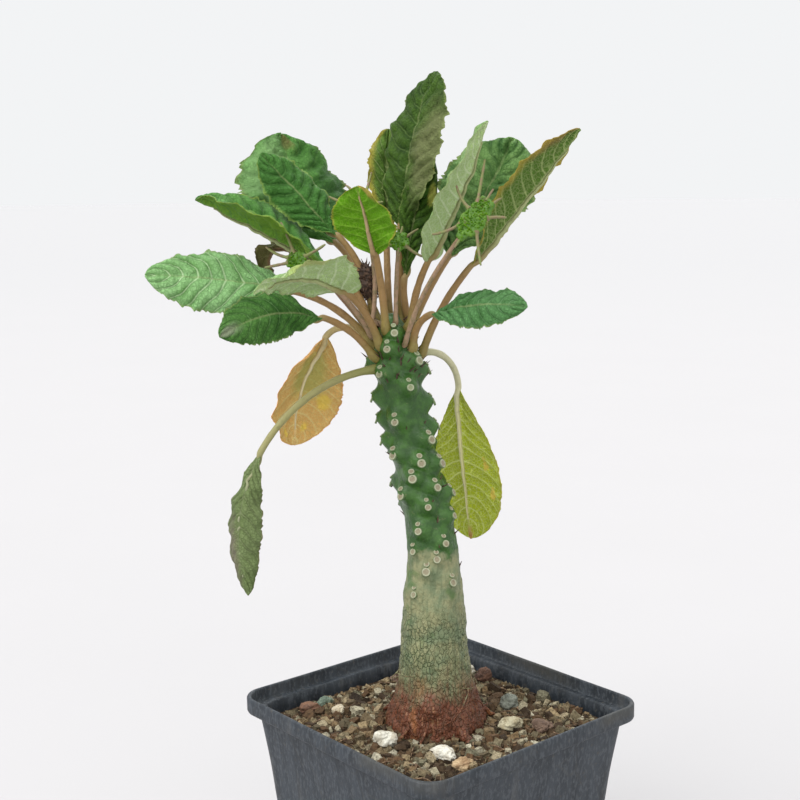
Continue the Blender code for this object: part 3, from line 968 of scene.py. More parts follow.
@dataclass(frozen=True)
class StemSkin:
    """Glossy green skin near the crown, cracked tan bark below it and red-brown fibre at the foot."""

    green: Colour = (0.018, 0.068, 0.006)
    fresh: Colour = (0.042, 0.125, 0.014)
    tan: Colour = (0.25, 0.25, 0.125)
    grey: Colour = (0.155, 0.195, 0.10)
    crack: Colour = (0.06, 0.10, 0.04)
    red: Colour = (0.15, 0.045, 0.018)
    foot: Colour = (0.095, 0.036, 0.014)
    orange: Colour = (0.27, 0.10, 0.032)
    fibre: Colour = (0.30, 0.16, 0.075)

    def dress(self) -> Material:
        """Mixes the three skins by height.

        Returns:
            The material.
        """
        r = Recipe("stem skin")
        high = r.axis("Z")
        wave = r.clouds(160.0)
        fine = r.clouds(900.0, 4.0)
        level = high + (wave - 0.5) * 0.016
        knob = r.mark("knob")
        young = r.mix(r.clouds(260.0).ramp(0.4, 0.7), self.green, self.fresh)
        young = r.mix(knob.ramp(0.25, 0.95) * 0.6, young, self.fresh)
        young = r.mix(r.clouds(620.0).ramp(0.64, 0.74) * 0.3, young, self.tan)
        bark = r.mix(r.clouds(190.0, 5.0).ramp(0.38, 0.68), self.tan, self.grey)
        split = r.cells(720.0, True, r.stretched((1.0, 1.0, 0.6)))
        lines = split.ramp(0.14, 0.02) * r.clouds(110.0).ramp(0.45, 0.62) * level.ramp(0.128, 0.114)
        bark = r.mix(lines * 0.6, bark, self.crack)
        grain = r.clouds(620.0, 4.0, r.stretched((1.0, 1.0, 0.22)))
        bark = r.mix(grain.ramp(0.47, 0.56) * 0.35, bark, self.crack)
        bark = r.mix(fine.ramp(0.55, 0.78) * 0.35, bark, self.crack)
        patch = r.clouds(85.0, 2.0).ramp(0.56, 0.64) * level.ramp(0.103, 0.118)
        bark = r.mix(patch * 0.6, bark, self.fresh)
        streak = r.clouds(900.0, 3.0, r.stretched((1.0, 1.0, 0.12)))
        base = r.mix(streak.ramp(0.42, 0.66), self.red, self.foot)
        base = r.mix(r.clouds(140.0, 2.0, r.stretched((1.0, 1.0, 0.25))).ramp(0.6, 0.68) * 0.8, base, self.orange)
        base = r.mix(streak.ramp(0.40, 0.33) * 0.7, base, self.fibre)
        colour = r.mix((level + (streak - 0.5) * 0.010).ramp(0.090, 0.104), base, bark)
        colour = r.mix(level.ramp(0.1395, 0.1425), colour, young)
        dust = fine.ramp(0.35, 0.8)
        gloss = 0.5 - level.ramp(0.138, 0.146) * 0.17 + dust * 0.2
        relief = r.bump(fine, 0.35 * MM)
        relief = r.bump(split.ramp(0.0, 0.12) * level.ramp(0.130, 0.114), 0.30 * MM, relief)
        return r.finish(Base_Color=colour, Roughness=gloss, Normal=relief, Specular_IOR_Level=0.45)


@dataclass(frozen=True)
class ScarSkin:
    """A cream corky rim round a brown or green scar."""

    rim: Colour = (0.38, 0.40, 0.27)
    old: Colour = (0.25, 0.22, 0.14)
    fresh: Colour = (0.24, 0.28, 0.15)
    spot: Colour = (0.16, 0.09, 0.045)

    def dress(self) -> Material:
        """Mixes the scar's rim and middle.

        Returns:
            The material.
        """
        r = Recipe("leaf scar")
        ring = r.mark("ring")
        fine = r.clouds(1500.0, 3.0)
        inner = r.mix(r.mark("tint").ramp(0.4, 0.8), self.old, self.fresh)
        inner = r.mix(fine.ramp(0.5, 0.72) * 0.55, inner, self.spot)
        broken = r.clouds(700.0, 2.0).ramp(0.25, 0.5)
        colour = r.mix(ring.ramp(0.15, 0.7) * broken * 0.85, inner, self.rim)
        colour = r.mix(r.mark("wall").ramp(0.86, 1.0), colour, (0.13, 0.19, 0.08))
        relief = r.bump(fine, 0.15 * MM)
        return r.finish(Base_Color=colour, Roughness=0.62 + fine * 0.2, Normal=relief)


@dataclass(frozen=True)
class DrySkin:
    """Dry plant matter of two shades."""

    name: str
    dark: Colour
    light: Colour
    roughness: float

    def dress(self) -> Material:
        """Mixes the two shades.

        Returns:
            The material.
        """
        r = Recipe(self.name)
        fine = r.clouds(900.0, 4.0)
        colour = r.mix(fine.ramp(0.4, 0.7), self.dark, self.light)
        relief = r.bump(fine, 0.4 * MM)
        return r.finish(Base_Color=colour, Roughness=self.roughness - fine * 0.1, Normal=relief)


# --- leaves


@dataclass(frozen=True)
class Patch:
    """A part of a blade that is given another colour (on the back left broad leaf, two are painted shade and
    painted light): its middle across (-1 to 1) and along (0 to 1), and its reach.
    """

    across: float
    along: float
    reach: float
    colour: Colour
    strength: float = 0.85


@dataclass(frozen=True)
class LeafFinish:
    """A leaf's colours: its upper skin and the pillow colour, a painted highlight on the raised pillows, its
    underside, its veins, rib and stalk.
    """

    upper: Colour
    # pillow is a lighter colour: a painted highlight on the raised pillows between the veins, also used for broad
    # lighter blotches and for flecks on the underside
    pillow: Colour
    under: Colour
    vein: Colour
    rib: Colour = (0.30, 0.33, 0.15)
    stalk: Colour = (0.27, 0.165, 0.062)
    edge: Colour = (0.20, 0.24, 0.08)
    edge_from: float = 0.93
    vein_strength: float = 0.5
    patches: tuple[Patch, ...] = ()
    roughness: float = 0.47
    mottle: float = 0.25
    # depth multiplies every colour; ORANGE's larger depth brightens that leaf as painted light shining through it
    depth: float = 1.27

    def blade(self, name: str, count: float, slant: float) -> Material:
        """The blade's material.

        Args:
            name: the leaf's name.
            count: how many side veins leave each side of the rib.
            slant: how far the side veins run towards the tip, as a share of the blade.

        Returns:
            The material.
        """
        r = Recipe(name + "_blade")
        u, v, under = r.mark("across"), r.mark("along"), r.mark("under")
        skin = r.skin()
        out = abs(u)
        wobble = (v * 9 + u * 4).sine() * 0.012 + (v * 23 - u * 5).sine() * 0.006
        gap = abs(((v - slant * out**1.3 + wobble) * count).fract() - 0.5) * 2
        thin = 1 - out * 0.5
        vein = gap.ramp(0.20, 0.03) * thin
        net = r.cells(0.85, True, skin).ramp(0.13, 0.02)
        small = r.cells(2.1, True, skin).ramp(0.12, 0.02)
        wide = r.clouds(0.11, 3.0, skin)
        fine = r.clouds(1.6, 4.0, skin)
        # Broad clouds blend the upper skin towards the pillow colour, and the middles between the veins take it as
        # a painted highlight on the raised pillows.
        top = r.mix(wide.ramp(0.35, 0.65), self.upper, self.pillow)
        top = r.mix(gap.ramp(0.15, 0.9) * 0.45, top, self.pillow)
        # Painted shade: the sunken valleys beside the veins are darkened to about half the upper colour.
        valley_shade = gap.ramp(0.5, 0.12) * out.ramp(0.03, 0.2) * (1 - vein)
        top = r.mix(valley_shade * 0.55, top, tuple(0.55 * c for c in self.upper))
        top = r.mix((net * 0.35 + small * 0.15) * gap.ramp(0.1, 0.5), top, self.upper)
        top = r.mix(vein * self.vein_strength, top, self.vein)
        low = r.mix(fine.ramp(0.35, 0.7) * 0.35, self.under, self.pillow)
        low = r.mix(net * 0.4, low, self.vein)
        low = r.mix(vein * 0.75, low, self.vein)
        colour = r.mix(under.ramp(0.35, 0.65), top, low)
        for patch in self.patches:
            reach = ((u - patch.across) * 0.5) ** 2 + (v - patch.along) ** 2
            near = (reach**0.5 + (wide - 0.5) * 0.22 + (fine - 0.5) * 0.08).ramp(patch.reach, patch.reach * 0.35)
            colour = r.mix(near * patch.strength, colour, patch.colour)
        colour = r.mix(fine.ramp(0.52, 0.78) * self.mottle, colour, self.vein)
        rim = (out + (fine - 0.5) * 0.12).ramp(self.edge_from, 1.0)
        colour = r.mix(rim * 0.6, colour, self.edge)
        rib = r.mark("ribgap").ramp(0.55, 0.2) * v.ramp(1.1, 0.55)
        colour = r.mix(rib * (0.35 + under * 0.5), colour, self.rib)
        # Every colour is scaled by depth; on the orange leaf the extra brightness is painted light shining through
        # the blade.
        colour = r.mix(1.0, colour, (self.depth, self.depth, self.depth), "MULTIPLY")
        relief = r.bump(fine, 0.00018)
        relief = r.bump((1 - net) * 0.6 + (1 - small) * 0.4, 0.00030, relief)
        gloss = self.roughness + fine * 0.18 + under * 0.12
        return r.finish(Base_Color=colour, Roughness=gloss, Normal=relief, Specular_IOR_Level=0.16)

    def stem(self, name: str) -> Material:
        """The stalk's and rib's finish, greener near the stem.

        Args:
            name: the leaf's name.

        Returns:
            The material.
        """
        r = Recipe(name + "_stalk")
        v = r.mark("along")
        fine = r.clouds(700.0, 3.0)
        base = tuple(0.55 * c + 0.45 * g for c, g in zip(self.stalk, (0.17, 0.20, 0.035)))
        colour = r.mix(v.ramp(-1.0, -0.55), base, self.stalk)
        colour = r.mix(v.ramp(-0.1, 0.35), colour, self.rib)
        colour = r.mix(fine.ramp(0.5, 0.75) * 0.4, colour, tuple(c * 0.5 for c in self.stalk))
        relief = r.bump(fine, 0.25 * MM)
        return r.finish(Base_Color=colour, Roughness=0.42 + fine * 0.15, Normal=relief, Specular_IOR_Level=0.3)


@dataclass
class Leaf:
    """One leaf. Angles are degrees in the plant's frame and lengths millimetres.

    height and bearing say where its stalk leaves the stem, turn is how far its heading swings on the
    way to the tip, and rise is its slope at the stem, at the blade and at the tip. roll lifts the
    blade's right side, and fold lifts its left and right halves. curl bends the halves down towards
    the margin, relief is how far the skin pillows up between the veins, wave how far the margin
    waves, and crumple how far the whole blade is creased.
    """

    name: str
    height: float
    bearing: float
    turn: float
    rise: tuple[float, float, float]
    stalk: float
    blade: float
    width: float
    roll: float
    fold: tuple[float, float]
    widest: float
    finish: LeafFinish
    veins: float = 9.0
    slant: float = 0.18
    relief: float = 0.55
    wave: float = 0.5
    curl: float = -22.0
    crumple: float = 0.6
    teeth: float = 0.085
    tooth_count: float = 17.0
    fullness: float = 0.65
    slot: Slot = Slot.LEAF_GREEN
    steps: int = 118
    half_steps: int = 25
    thickness: float = 0.34

    def centre_line(self, stem: Stem) -> tuple[Array, Array, Array]:
        """The line of stalk and blade.

        Args:
            stem: the stem that it leaves.

        Returns:
            Its stations, and the bearing and slope at each.
        """
        steps = 40
        on_stalk = np.concatenate([np.linspace(0, 1, steps), np.ones(self.steps)])
        on_blade = np.concatenate([np.zeros(steps), np.linspace(0, 1, self.steps + 1)[1:]])
        reached = self.stalk * on_stalk + self.blade * on_blade
        rise = self.rise[0] + (self.rise[1] - self.rise[0]) * on_stalk + (self.rise[2] - self.rise[1]) * on_blade
        bearing = self.bearing + self.turn * reached / (self.stalk + self.blade)
        lift = abs(math.sin(math.radians(self.rise[0])))
        clear = np.interp(self.height, *zip(*stem.profile)) + 0.6 + 1.1 * lift
        start = stem.middle(self.height) + aim(self.bearing, 0.0) * clear
        ways = aim((bearing[1:] + bearing[:-1]) / 2, (rise[1:] + rise[:-1]) / 2)
        moves = ways * np.diff(reached)[:, None]
        line = start + np.concatenate([[[0, 0, 0]], np.cumsum(moves, axis=0)])
        return line, bearing, rise

    def surface(self, line: Array, bearing: Array, rise: Array) -> tuple[Array, ...]:
        """The blade's sheet.

        Args:
            line: the blade's middle.
            bearing: its bearing at each station.
            rise: its slope at each station.

        Returns:
            Points, normals, places across and along, and distances from the rib.
        """
        along = np.linspace(0, 1, len(line))
        across = np.linspace(-1, 1, 2 * self.half_steps + 1)
        b, ahead = np.radians(bearing), aim(bearing, rise)
        side = np.stack([np.sin(b), -np.cos(b), np.zeros_like(b)], -1)
        up = np.cross(side, ahead)
        opened = np.minimum(1.0, along * 4)
        roll = np.radians(self.roll) * opened
        side, up = (
            side * np.cos(roll)[:, None] + up * np.sin(roll)[:, None],
            up * np.cos(roll)[:, None] - side * np.sin(roll)[:, None],
        )
        warped = along ** (math.log(0.5) / math.log(self.widest))
        half = self.width / 2 * np.maximum(np.sin(math.pi * warped), 0.0) ** self.fullness
        half = np.maximum(half, np.interp(along, (0, 0.5, 1), (0.9, 0.5, 0.25)))[:, None]
        u, v = np.broadcast_arrays(across[None, :], along[:, None])
        out = np.abs(u)
        reach = half * out
        fold = np.radians(np.where(u < 0, self.fold[0], self.fold[1])) * opened[:, None]
        bend = np.radians(self.curl)
        angle = fold + bend * out
        flat = half * (np.sin(angle) - np.sin(fold)) / bend
        lifted = half * (np.cos(fold) - np.cos(angle)) / bend
        points = line[:, None] + side[:, None] * (np.sign(u) * flat)[..., None] + up[:, None] * lifted[..., None]
        normal = unit(np.cross(np.gradient(points, axis=1), np.gradient(points, axis=0)))
        wobble = 0.012 * np.sin(v * 9 + u * 4) + 0.006 * np.sin(v * 23 - u * 5)
        gap = np.abs(((v - self.slant * out**1.3 + wobble) * self.veins) % 1.0 - 0.5) * 2
        pillow = np.sqrt(np.clip(gap, 0, 1)) * smooth(out, 0.03, 0.25) * (1 - 0.75 * smooth(out, 0.75, 1.0))
        groove = -0.6 * np.exp(-((reach / 0.9) ** 2)) * (1 - 0.5 * v)
        seed = self.bearing + self.height
        spot = np.stack([u * half, v * self.blade, np.full_like(u, seed)], -1)
        dents = rough(spot, 0.11, seed, 2) * self.crumple * 1.3 + rough(spot, 0.42, seed + 7, 2) * self.relief * 0.5
        swing = v * self.veins * 0.5 * math.tau + seed + 1.3 * np.sign(u)
        edge = out**2.5 * self.wave * (np.sin(swing) + 0.7 * np.sin(swing * 0.53 + 2))
        taper = smooth(v, 0.0, 0.1) * (1 - 0.5 * smooth(v, 0.92, 1.0))
        lift = (pillow * self.relief + dents + edge) * taper + groove * smooth(v, 0.0, 0.1)
        points = points + normal * lift[..., None]
        normal = unit(np.cross(np.gradient(points, axis=1), np.gradient(points, axis=0)))
        points = points + self.toothed(points, u, v, half)
        return points, normal, u, v, reach

    def toothed(self, points: Array, u: Array, v: Array, half: Array) -> Array:
        """The margin's teeth and lobes.

        Args:
            points: the sheet's points.
            u: places across it.
            v: places along it.
            half: half its width at each station.

        Returns:
            How far each point is pushed outwards and towards the tip.
        """
        uneven = 0.35 * np.sin(v * 31 + self.height + np.sign(u))
        tooth = 1 - (v * self.tooth_count - 0.35 * np.abs(u) + uneven) % 1.0
        lobes = 0.35 * np.sin(v * self.veins * math.tau + np.sign(u))
        size = half * np.abs(u) ** 8 * self.teeth * (tooth + lobes) * smooth(v, 0.02, 0.15)
        outward = unit(np.gradient(points, axis=1)) * np.sign(u)[..., None]
        return (outward + 0.35 * unit(np.gradient(points, axis=0))) * size[..., None]

    def build(self, stem: Stem) -> Piece:
        """Builds a closed blade, and a stalk that runs on under it as its rib.

        Args:
            stem: the stem that it leaves.

        Returns:
            The leaf as one object.
        """
        line, bearing, rise = self.centre_line(stem)
        foot = len(line) - self.steps - 1
        points, normal, u, v, reach = self.surface(line[foot:], bearing[foot:], rise[foot:])
        thick = self.thickness * (1 - 0.6 * np.abs(u) ** 4)[..., None] / 2
        upper, lower = points + normal * thick, points - normal * thick
        rings = np.concatenate([upper, lower[:, ::-1]], 1)
        flipped = [np.concatenate([values, values[:, ::-1]], 1) for values in (u, v, reach)]
        shade = np.concatenate([np.zeros_like(u), np.ones_like(u)], 1)
        signed = np.concatenate([np.sign(u) * reach, (np.sign(u) * reach)[:, ::-1]], 1)
        uv = np.stack([signed, flipped[1] * self.blade], -1) + self.height
        lattice = Lattice()
        marks = {"across": flipped[0], "along": flipped[1], "under": shade, "ribgap": flipped[2]}
        lattice.loft(turned(rings * MM), uv, **marks)
        self.rib(lattice, line, foot, lower, normal)
        materials = [self.finish.blade(self.name, self.veins, self.slant), self.finish.stem(self.name)]
        return lattice.build("fine_" + self.name, materials, 75)

    def rib(self, lattice: Lattice, line: Array, foot: int, lower: Array, normal: Array) -> None:
        """Adds the stalk, from inside the stem's skin, and the rib that it becomes.

        Args:
            lattice: the leaf's mesh.
            line: the line of stalk and blade.
            foot: the station where the blade starts.
            lower: the blade's underside.
            normal: the sheet's normals.
        """
        last = int(self.steps * 0.88)
        under = lower[:last, self.half_steps]
        down = normal[:last, self.half_steps]
        share = np.linspace(0, 1, last)
        slim = float(np.interp(self.width, (12, 22), (0.6, 1.0)))
        girth = np.interp(share, (0, 0.15, 1), (1.05, 0.75 * slim, 0.2))
        sunk = smooth(share, 0.0, 0.08)[:, None]
        along_blade = line[foot : foot + last] * (1 - sunk) + (under - down * girth[:, None] * 0.78) * sunk
        inward = line[0] - (line[1] - line[0]) / np.linalg.norm(line[1] - line[0]) * 2.5
        inward[:2] -= aim(self.bearing, 0.0)[:2] * 2.0
        path = np.concatenate([[inward], line[:foot], along_blade])
        radii = np.concatenate([[1.5], np.interp(np.linspace(0, 1, foot), (0, 0.12, 1), (1.75, 1.2, 1.05)), girth])
        path[1:-1] = (path[:-2] + 2 * path[1:-1] + path[2:]) / 4
        radii = radii * (1 + 0.09 * rough(path, 0.25, self.height))
        marks = np.concatenate([np.linspace(-1, 0, foot + 1), share])
        lattice.tube(turned(path * MM), radii * MM, 1, 14, along=marks)


# --- the pot and what fills it


def rounded_square(half: float, corner: float, steps: int) -> Array:
    """Points round a square with round corners, the same number for any size.

    Args:
        half: half its side.
        corner: its corners' radius.
        steps: points on each corner.

    Returns:
        The points.
    """
    corner = min(corner, half * 0.98)
    points = []
    for quarter in range(4):
        turn = math.radians(90 * quarter)
        middle = np.array([half - corner, half - corner])
        arc = [middle + corner * np.array([math.cos(a), math.sin(a)]) for a in np.linspace(0, math.pi / 2, steps)]
        edge = np.array([corner - half, half]) - arc[-1]
        straight = [arc[-1] + edge * s for s in np.linspace(0, 1, steps + 1)[1:-1]]
        c, s = math.cos(turn), math.sin(turn)
        points += [(c * x - s * y, s * x + c * y) for x, y in arc + straight]
    return np.array(points)


@dataclass
class Pot:
    """The square nursery pot, in millimetres: one moulded shell with a turned-out rim and drain holes."""

    height: float = 90.0
    rim_side: float = 95.0
    flange_reach: float = 3.0
    flange_height: float = 5.5
    base_side: float = 69.0
    wall: float = 1.2
    corner: float = 8.0
    drain_radius: float = 4.0
    drain_count: int = 8
    drain_circle: float = 24.0
    soften: float = 0.7

    def half(self, height: float) -> float:
        """Half the pot's outside width at this height, below its flange."""
        top = self.rim_side / 2 - self.flange_reach
        return self.base_side / 2 + (top - self.base_side / 2) * height / (self.height - self.flange_height)

    def build(self) -> Piece:
        """Builds the pot as one closed shell, with its holes cut.

        Returns:
            The pot.
        """
        ledge, top, w, s = self.height - self.flange_height, self.height, self.wall, self.soften
        lip = self.rim_side / 2
        path = [(2.0, 0.0), (15.0, 0.0), (self.half(0) - 3, 0.0), (self.half(0) - s, 0.0)]
        path += [(self.half(0) - 0.2, 0.25), (self.half(s), s)]
        path += [(self.half(z) + 0.12 * math.sin(z * 0.16), z) for z in np.linspace(4, ledge - 2, 40)]
        path += [(self.half(ledge) + 0.1, ledge - 0.5), (self.half(ledge) + 0.5, ledge)]
        path += [(lip - s, ledge), (lip - 0.2, ledge + 0.2), (lip, ledge + s), (lip, top - s)]
        path += [(lip - 0.2, top - 0.2), (lip - s, top), (lip - w + 0.25, top - 0.1), (lip - w, top - s)]
        path += [(lip - w, ledge + w + 0.6), (lip - w - 0.5, ledge + w), (self.half(ledge) - w + 0.4, ledge + w)]
        path += [(self.half(ledge) - w, ledge + w - 0.5)]
        path += [(self.half(z) - w, z) for z in np.linspace(ledge - 2, 4, 24)]
        path += [(self.half(w) - w - 1.2, w + 0.2), (self.half(w) - w - 3, w), (15.0, w), (2.0, w)]
        rings, uv = [], []
        for half, z in path:
            square = rounded_square(half, self.corner * min(1.0, half / self.half(0)), 12)
            bow = rough(at_height(square, z) * MM, 22.0, 4.0) * 0.25
            inner = half < self.half(0) - 4
            square = square * (1 - (0 if inner else 1) * np.abs(bow)[:, None] / half)
            rings.append(at_height(square, z))
            uv.append(np.column_stack([np.linspace(0, 300, len(square)), np.full(len(square), z)]))
        lattice = Lattice()
        lattice.loft(np.array(rings) * MM, np.array(uv))
        pot = lattice.build("fine_pot", [PotSkin().dress()], 50)
        cutters = []
        for i in range(self.drain_count):
            cutter = bmesh.new()
            size = self.drain_radius * MM
            bmesh.ops.create_cone(cutter, cap_ends=True, segments=32, radius1=size, radius2=size, depth=6 * MM)
            bearing = math.tau * (i + 0.5) / self.drain_count
            shift = Vector((math.cos(bearing), math.sin(bearing), 0.0)) * self.drain_circle * MM
            bmesh.ops.translate(cutter, vec=shift, verts=cutter.verts)
            mesh = bpy.data.meshes.new(f"drain_{i}")
            cutter.to_mesh(mesh)
            cutter.free()
            cutters.append(show(f"drain_{i}", mesh))
            cut = pot.modifiers.new(f"drain_{i}", "BOOLEAN")
            cut.operation = "DIFFERENCE"
            cut.solver = "EXACT"
            cut.object = cutters[-1]
        settle(pot)
        for cutter in cutters:
            bpy.data.objects.remove(cutter)
        return pot


@dataclass(frozen=True)
class PotSkin:
    """Thin blue-black plastic, scuffed on its rim, with faint flow lines and splashes of dried dust."""

    plastic: Colour = (0.010, 0.015, 0.021)
    faded: Colour = (0.028, 0.036, 0.046)
    scuffed: Colour = (0.078, 0.088, 0.10)
    worn: Colour = (0.055, 0.052, 0.042)
    dust: Colour = (0.11, 0.10, 0.085)

    def dress(self) -> Material:
        """Mixes the plastic, its wear and its dust.

        Returns:
            The material.
        """
        r = Recipe("pot plastic")
        high = r.axis("Z")
        flow = r.clouds(190.0, 3.0, r.stretched((1.0, 1.0, 0.06)))
        fine = r.clouds(1400.0, 4.0)
        wide = r.clouds(28.0, 3.0)
        colour = r.mix(flow.ramp(0.35, 0.65), self.plastic, self.faded)
        colour = r.mix(wide.ramp(0.45, 0.7) * 0.35, colour, self.faded)
        fleck = r.clouds(1100.0, 5.0, r.stretched((1.0, 1.0, 0.4))).ramp(0.49, 0.6)
        colour = r.mix(fleck * 0.45, colour, self.scuffed)
        rim = (high + (fine - 0.5) * 0.003).ramp(0.0845, 0.0885)
        colour = r.mix(rim * (wide.ramp(0.4, 0.7) * 0.7), colour, self.worn)
        specks = r.clouds(480.0, 5.0).ramp(0.62, 0.7) * (0.25 + high.ramp(0.02, 0.09) * 0.6)
        colour = r.mix(specks * 0.5, colour, self.dust)
        runs = r.clouds(95.0, 2.0, r.stretched((1.0, 1.0, 0.12))).ramp(0.6, 0.7) * high.ramp(0.03, 0.085)
        colour = r.mix(runs * 0.22, colour, self.dust)
        scratch = r.cells(120.0, True, r.stretched((1.0, 1.0, 0.2))).ramp(0.02, 0.0)
        colour = r.mix(scratch * 0.2, colour, self.worn)
        relief = r.bump(fine, 0.09 * MM)
        relief = r.bump(flow, 0.25 * MM, relief)
        gloss = 0.44 + fine * 0.15 + specks * 0.3 + flow * 0.08
        return r.finish(Base_Color=colour, Roughness=gloss, Normal=relief, Specular_IOR_Level=0.5)


@dataclass
class Grit:
    """The gritty compost, in millimetres: a rough bed with grains and litter strewn over it.

    sizes gives each set of grains its name, least and greatest size, distance apart and cuts a side.
    """

    pot: Pot
    below_rim: float = 9.0
    roughness: float = 1.1
    scale: float = 150.0
    inset: float = 1.5
    level: float = 79.0
    mesh_steps: int = 60
    sizes: tuple = (("fine", 0.8, 1.5, 0.6, 2), ("medium", 1.6, 2.9, 1.3, 2), ("large", 2.9, 4.6, 3.2, 3))

    def height(self, x: float, y: float) -> float:
        """How high the bed stands.

        Args:
            x: the place to the right of the pot's middle.
            y: the place behind it.

        Returns:
            The height.
        """
        soft = noise.noise(Vector((x * MM * self.scale, y * MM * self.scale, 0.5)))
        small = noise.noise(Vector((x * 0.55, y * 0.55, 4.0)))
        return self.pot.height - self.below_rim + self.roughness * soft + 0.35 * small

    def bed(self) -> Piece:
        """Builds the closed block of compost.

        Returns:
            The bed.
        """
        top = self.pot.height - self.below_rim
        foot = self.pot.wall + 0.3
        rings = []
        corner = self.pot.corner - self.inset / 2
        for z in np.linspace(foot, top, 14):
            square = rounded_square(self.pot.half(z) - self.inset, corner, 16)
            rings.append(at_height(square, z))
        for share in np.linspace(1, 0.02, 60)[1:]:
            square = rounded_square(self.pot.half(top) - self.inset, corner, 16) * share
            rings.append(np.array([(x, y, self.height(x, y)) for x, y in square]))
        base = rounded_square(self.pot.half(foot) - self.inset, corner, 16)
        under = [at_height(base * share, foot) for share in (0.05, 0.5)]
        points = np.array(under + rings)
        lattice = Lattice()
        lattice.loft(points * MM, points[..., :2])
        return lattice.build("fine_grit_bed", [GrainSkin("grit bed", True).dress()])

    def sheet(self, name: str, reach: float, lift: float) -> Piece:
        """An open sheet over the bed for grains to lie on.

        Args:
            name: its name.
            reach: half its side.
            lift: how far above the bed it lies.

        Returns:
            The sheet.
        """
        steps = self.mesh_steps
        grid = np.linspace(-reach, reach, steps)
        points = np.array([(x, y, self.height(x, y) + lift) for x in grid for y in grid]) * MM
        ids = np.arange(steps * steps).reshape(steps, steps)
        faces = np.stack([ids[:-1, :-1], ids[1:, :-1], ids[1:, 1:], ids[:-1, 1:]], -1).reshape(-1, 4)
        mesh = bpy.data.meshes.new(name)
        mesh.from_pydata(points.tolist(), [], faces.tolist())
        return show(name, mesh)

    def grains(self) -> list[Piece]:
        """Strews the loose grains.

        Returns:
            One object for each size, from the finest.
        """
        made = []
        finish = GrainSkin("grit grains", False).dress()
        reach = self.pot.half(self.level) - self.inset - 0.7
        shapes = ((0.8, 1.35), (0.6, 1.05), (0.4, 0.9))
        for i, (name, low, high, apart, cuts) in enumerate(self.sizes):
            sheet = self.sheet(f"fine_grit_{name}", reach - high / 2, 0.12 * high)
            kit = Repeater(f"grains {name}")
            gap = kit.size("Apart", apart * MM)
            small = kit.size("Smallest", low * MM)
            large = kit.size("Largest", high * MM)
            strewn = kit.strew(gap, 3.0e6, 11 + i)
            points = kit.store(strewn.outputs["Points"], "tint", kit.draw(0.0, 1.0, 40 + i))
            span = small + (large - small) * kit.draw(0.0, 1.0, 50 + i) ** 1.6
            sides = kit.vector(*[span * kit.draw(*ends, 60 + 3 * i + k) for k, ends in enumerate(shapes)])
            chip = kit.add(
                "GeometryNodeMeshCube", None,
                {"Size": (0.78, 0.78, 0.78), "Vertices X": cuts, "Vertices Y": cuts, "Vertices Z": cuts},
            )
            result = kit.plant(points, chip.outputs["Mesh"], kit.tumble(80 + 7 * i), sides)
            result = kit.swell(result, 420.0 / (low + high) * 3, large * 1.1)
            grains = kit.run(sheet, result, finish)
            grains.data.shade_flat()
            made.append(grains)
        return made

    def litter(self) -> Piece:
        """Short dry fibres and bark slivers that lie on the grains.

        Returns:
            The litter as one object.
        """
        draw = random.Random(77)
        lattice = Lattice()
        reach = self.pot.half(self.level) - 8
        for _ in range(80):
            x, y = draw.uniform(-reach, reach), draw.uniform(-reach, reach)
            way, span, girth = draw.uniform(0, math.tau), draw.uniform(2, 7), draw.uniform(0.12, 0.34)
            bend = draw.uniform(-0.6, 0.6)
            line = []
            for s in np.linspace(-0.5, 0.5, 9):
                px, py = x + math.cos(way + bend * s) * span * s, y + math.sin(way + bend * s) * span * s
                line.append((px, py, self.height(px, py) + 1.3 + 0.5 * math.cos(s * math.pi)))
            path = np.array(line)
            radii = np.interp(np.linspace(0, 1, 9), (0, 0.5, 1), (0.5, 1.0, 0.4)) * girth
            lattice.tube(path * MM, radii * MM, 0, 7)
        finish = DrySkin("dry litter", (0.10, 0.055, 0.03), (0.30, 0.20, 0.11), 0.8).dress()
        return lattice.build("fine_grit_litter", [finish])


@dataclass(frozen=True)
class GrainSkin:
    """Mixed grit: bark brown, rust, grey, tan and pale grains, each of one shade with its own mottling."""

    name: str
    bed: bool
    shades: tuple = (
        (0.0, (0.024, 0.016, 0.010)), (0.22, (0.075, 0.045, 0.022)), (0.38, (0.15, 0.085, 0.042)),
        (0.50, (0.12, 0.105, 0.062)), (0.62, (0.24, 0.16, 0.080)), (0.74, (0.19, 0.18, 0.115)),
        (0.86, (0.36, 0.27, 0.15)), (0.95, (0.42, 0.38, 0.26)), (1.0, (0.60, 0.56, 0.42)),
    )  # fmt: skip

    def dress(self) -> Material:
        """Gives each grain its own shade and mottling, and darkens the bed as painted shadow in the gaps between
        grains.

        Returns:
            The material.
        """
        r = Recipe(self.name)
        fine = r.clouds(1300.0, 5.0)
        coarse = r.clouds(420.0, 3.0)
        tint = coarse.ramp(0.2, 1.1) if self.bed else r.mark("tint")
        colour = r.spread(tint, list(self.shades))
        colour = r.mix(fine.ramp(0.35, 0.7) * 0.7, colour, (0.035, 0.024, 0.015))
        colour = r.mix(coarse.ramp(0.5, 0.8) * 0.3, colour, (0.26, 0.19, 0.12))
        # Painted shadow: the bed shows only in the gaps between the grains, so it is darkened most of the way to
        # near black.
        if self.bed:
            colour = r.mix(0.6, colour, (0.022, 0.015, 0.01))
        relief = r.bump(fine, 0.5 * MM)
        relief = r.bump(coarse, 0.5 * MM, relief)
        return r.finish(Base_Color=colour, Roughness=0.82 + fine * 0.15, Normal=relief, Specular_IOR_Level=0.25)


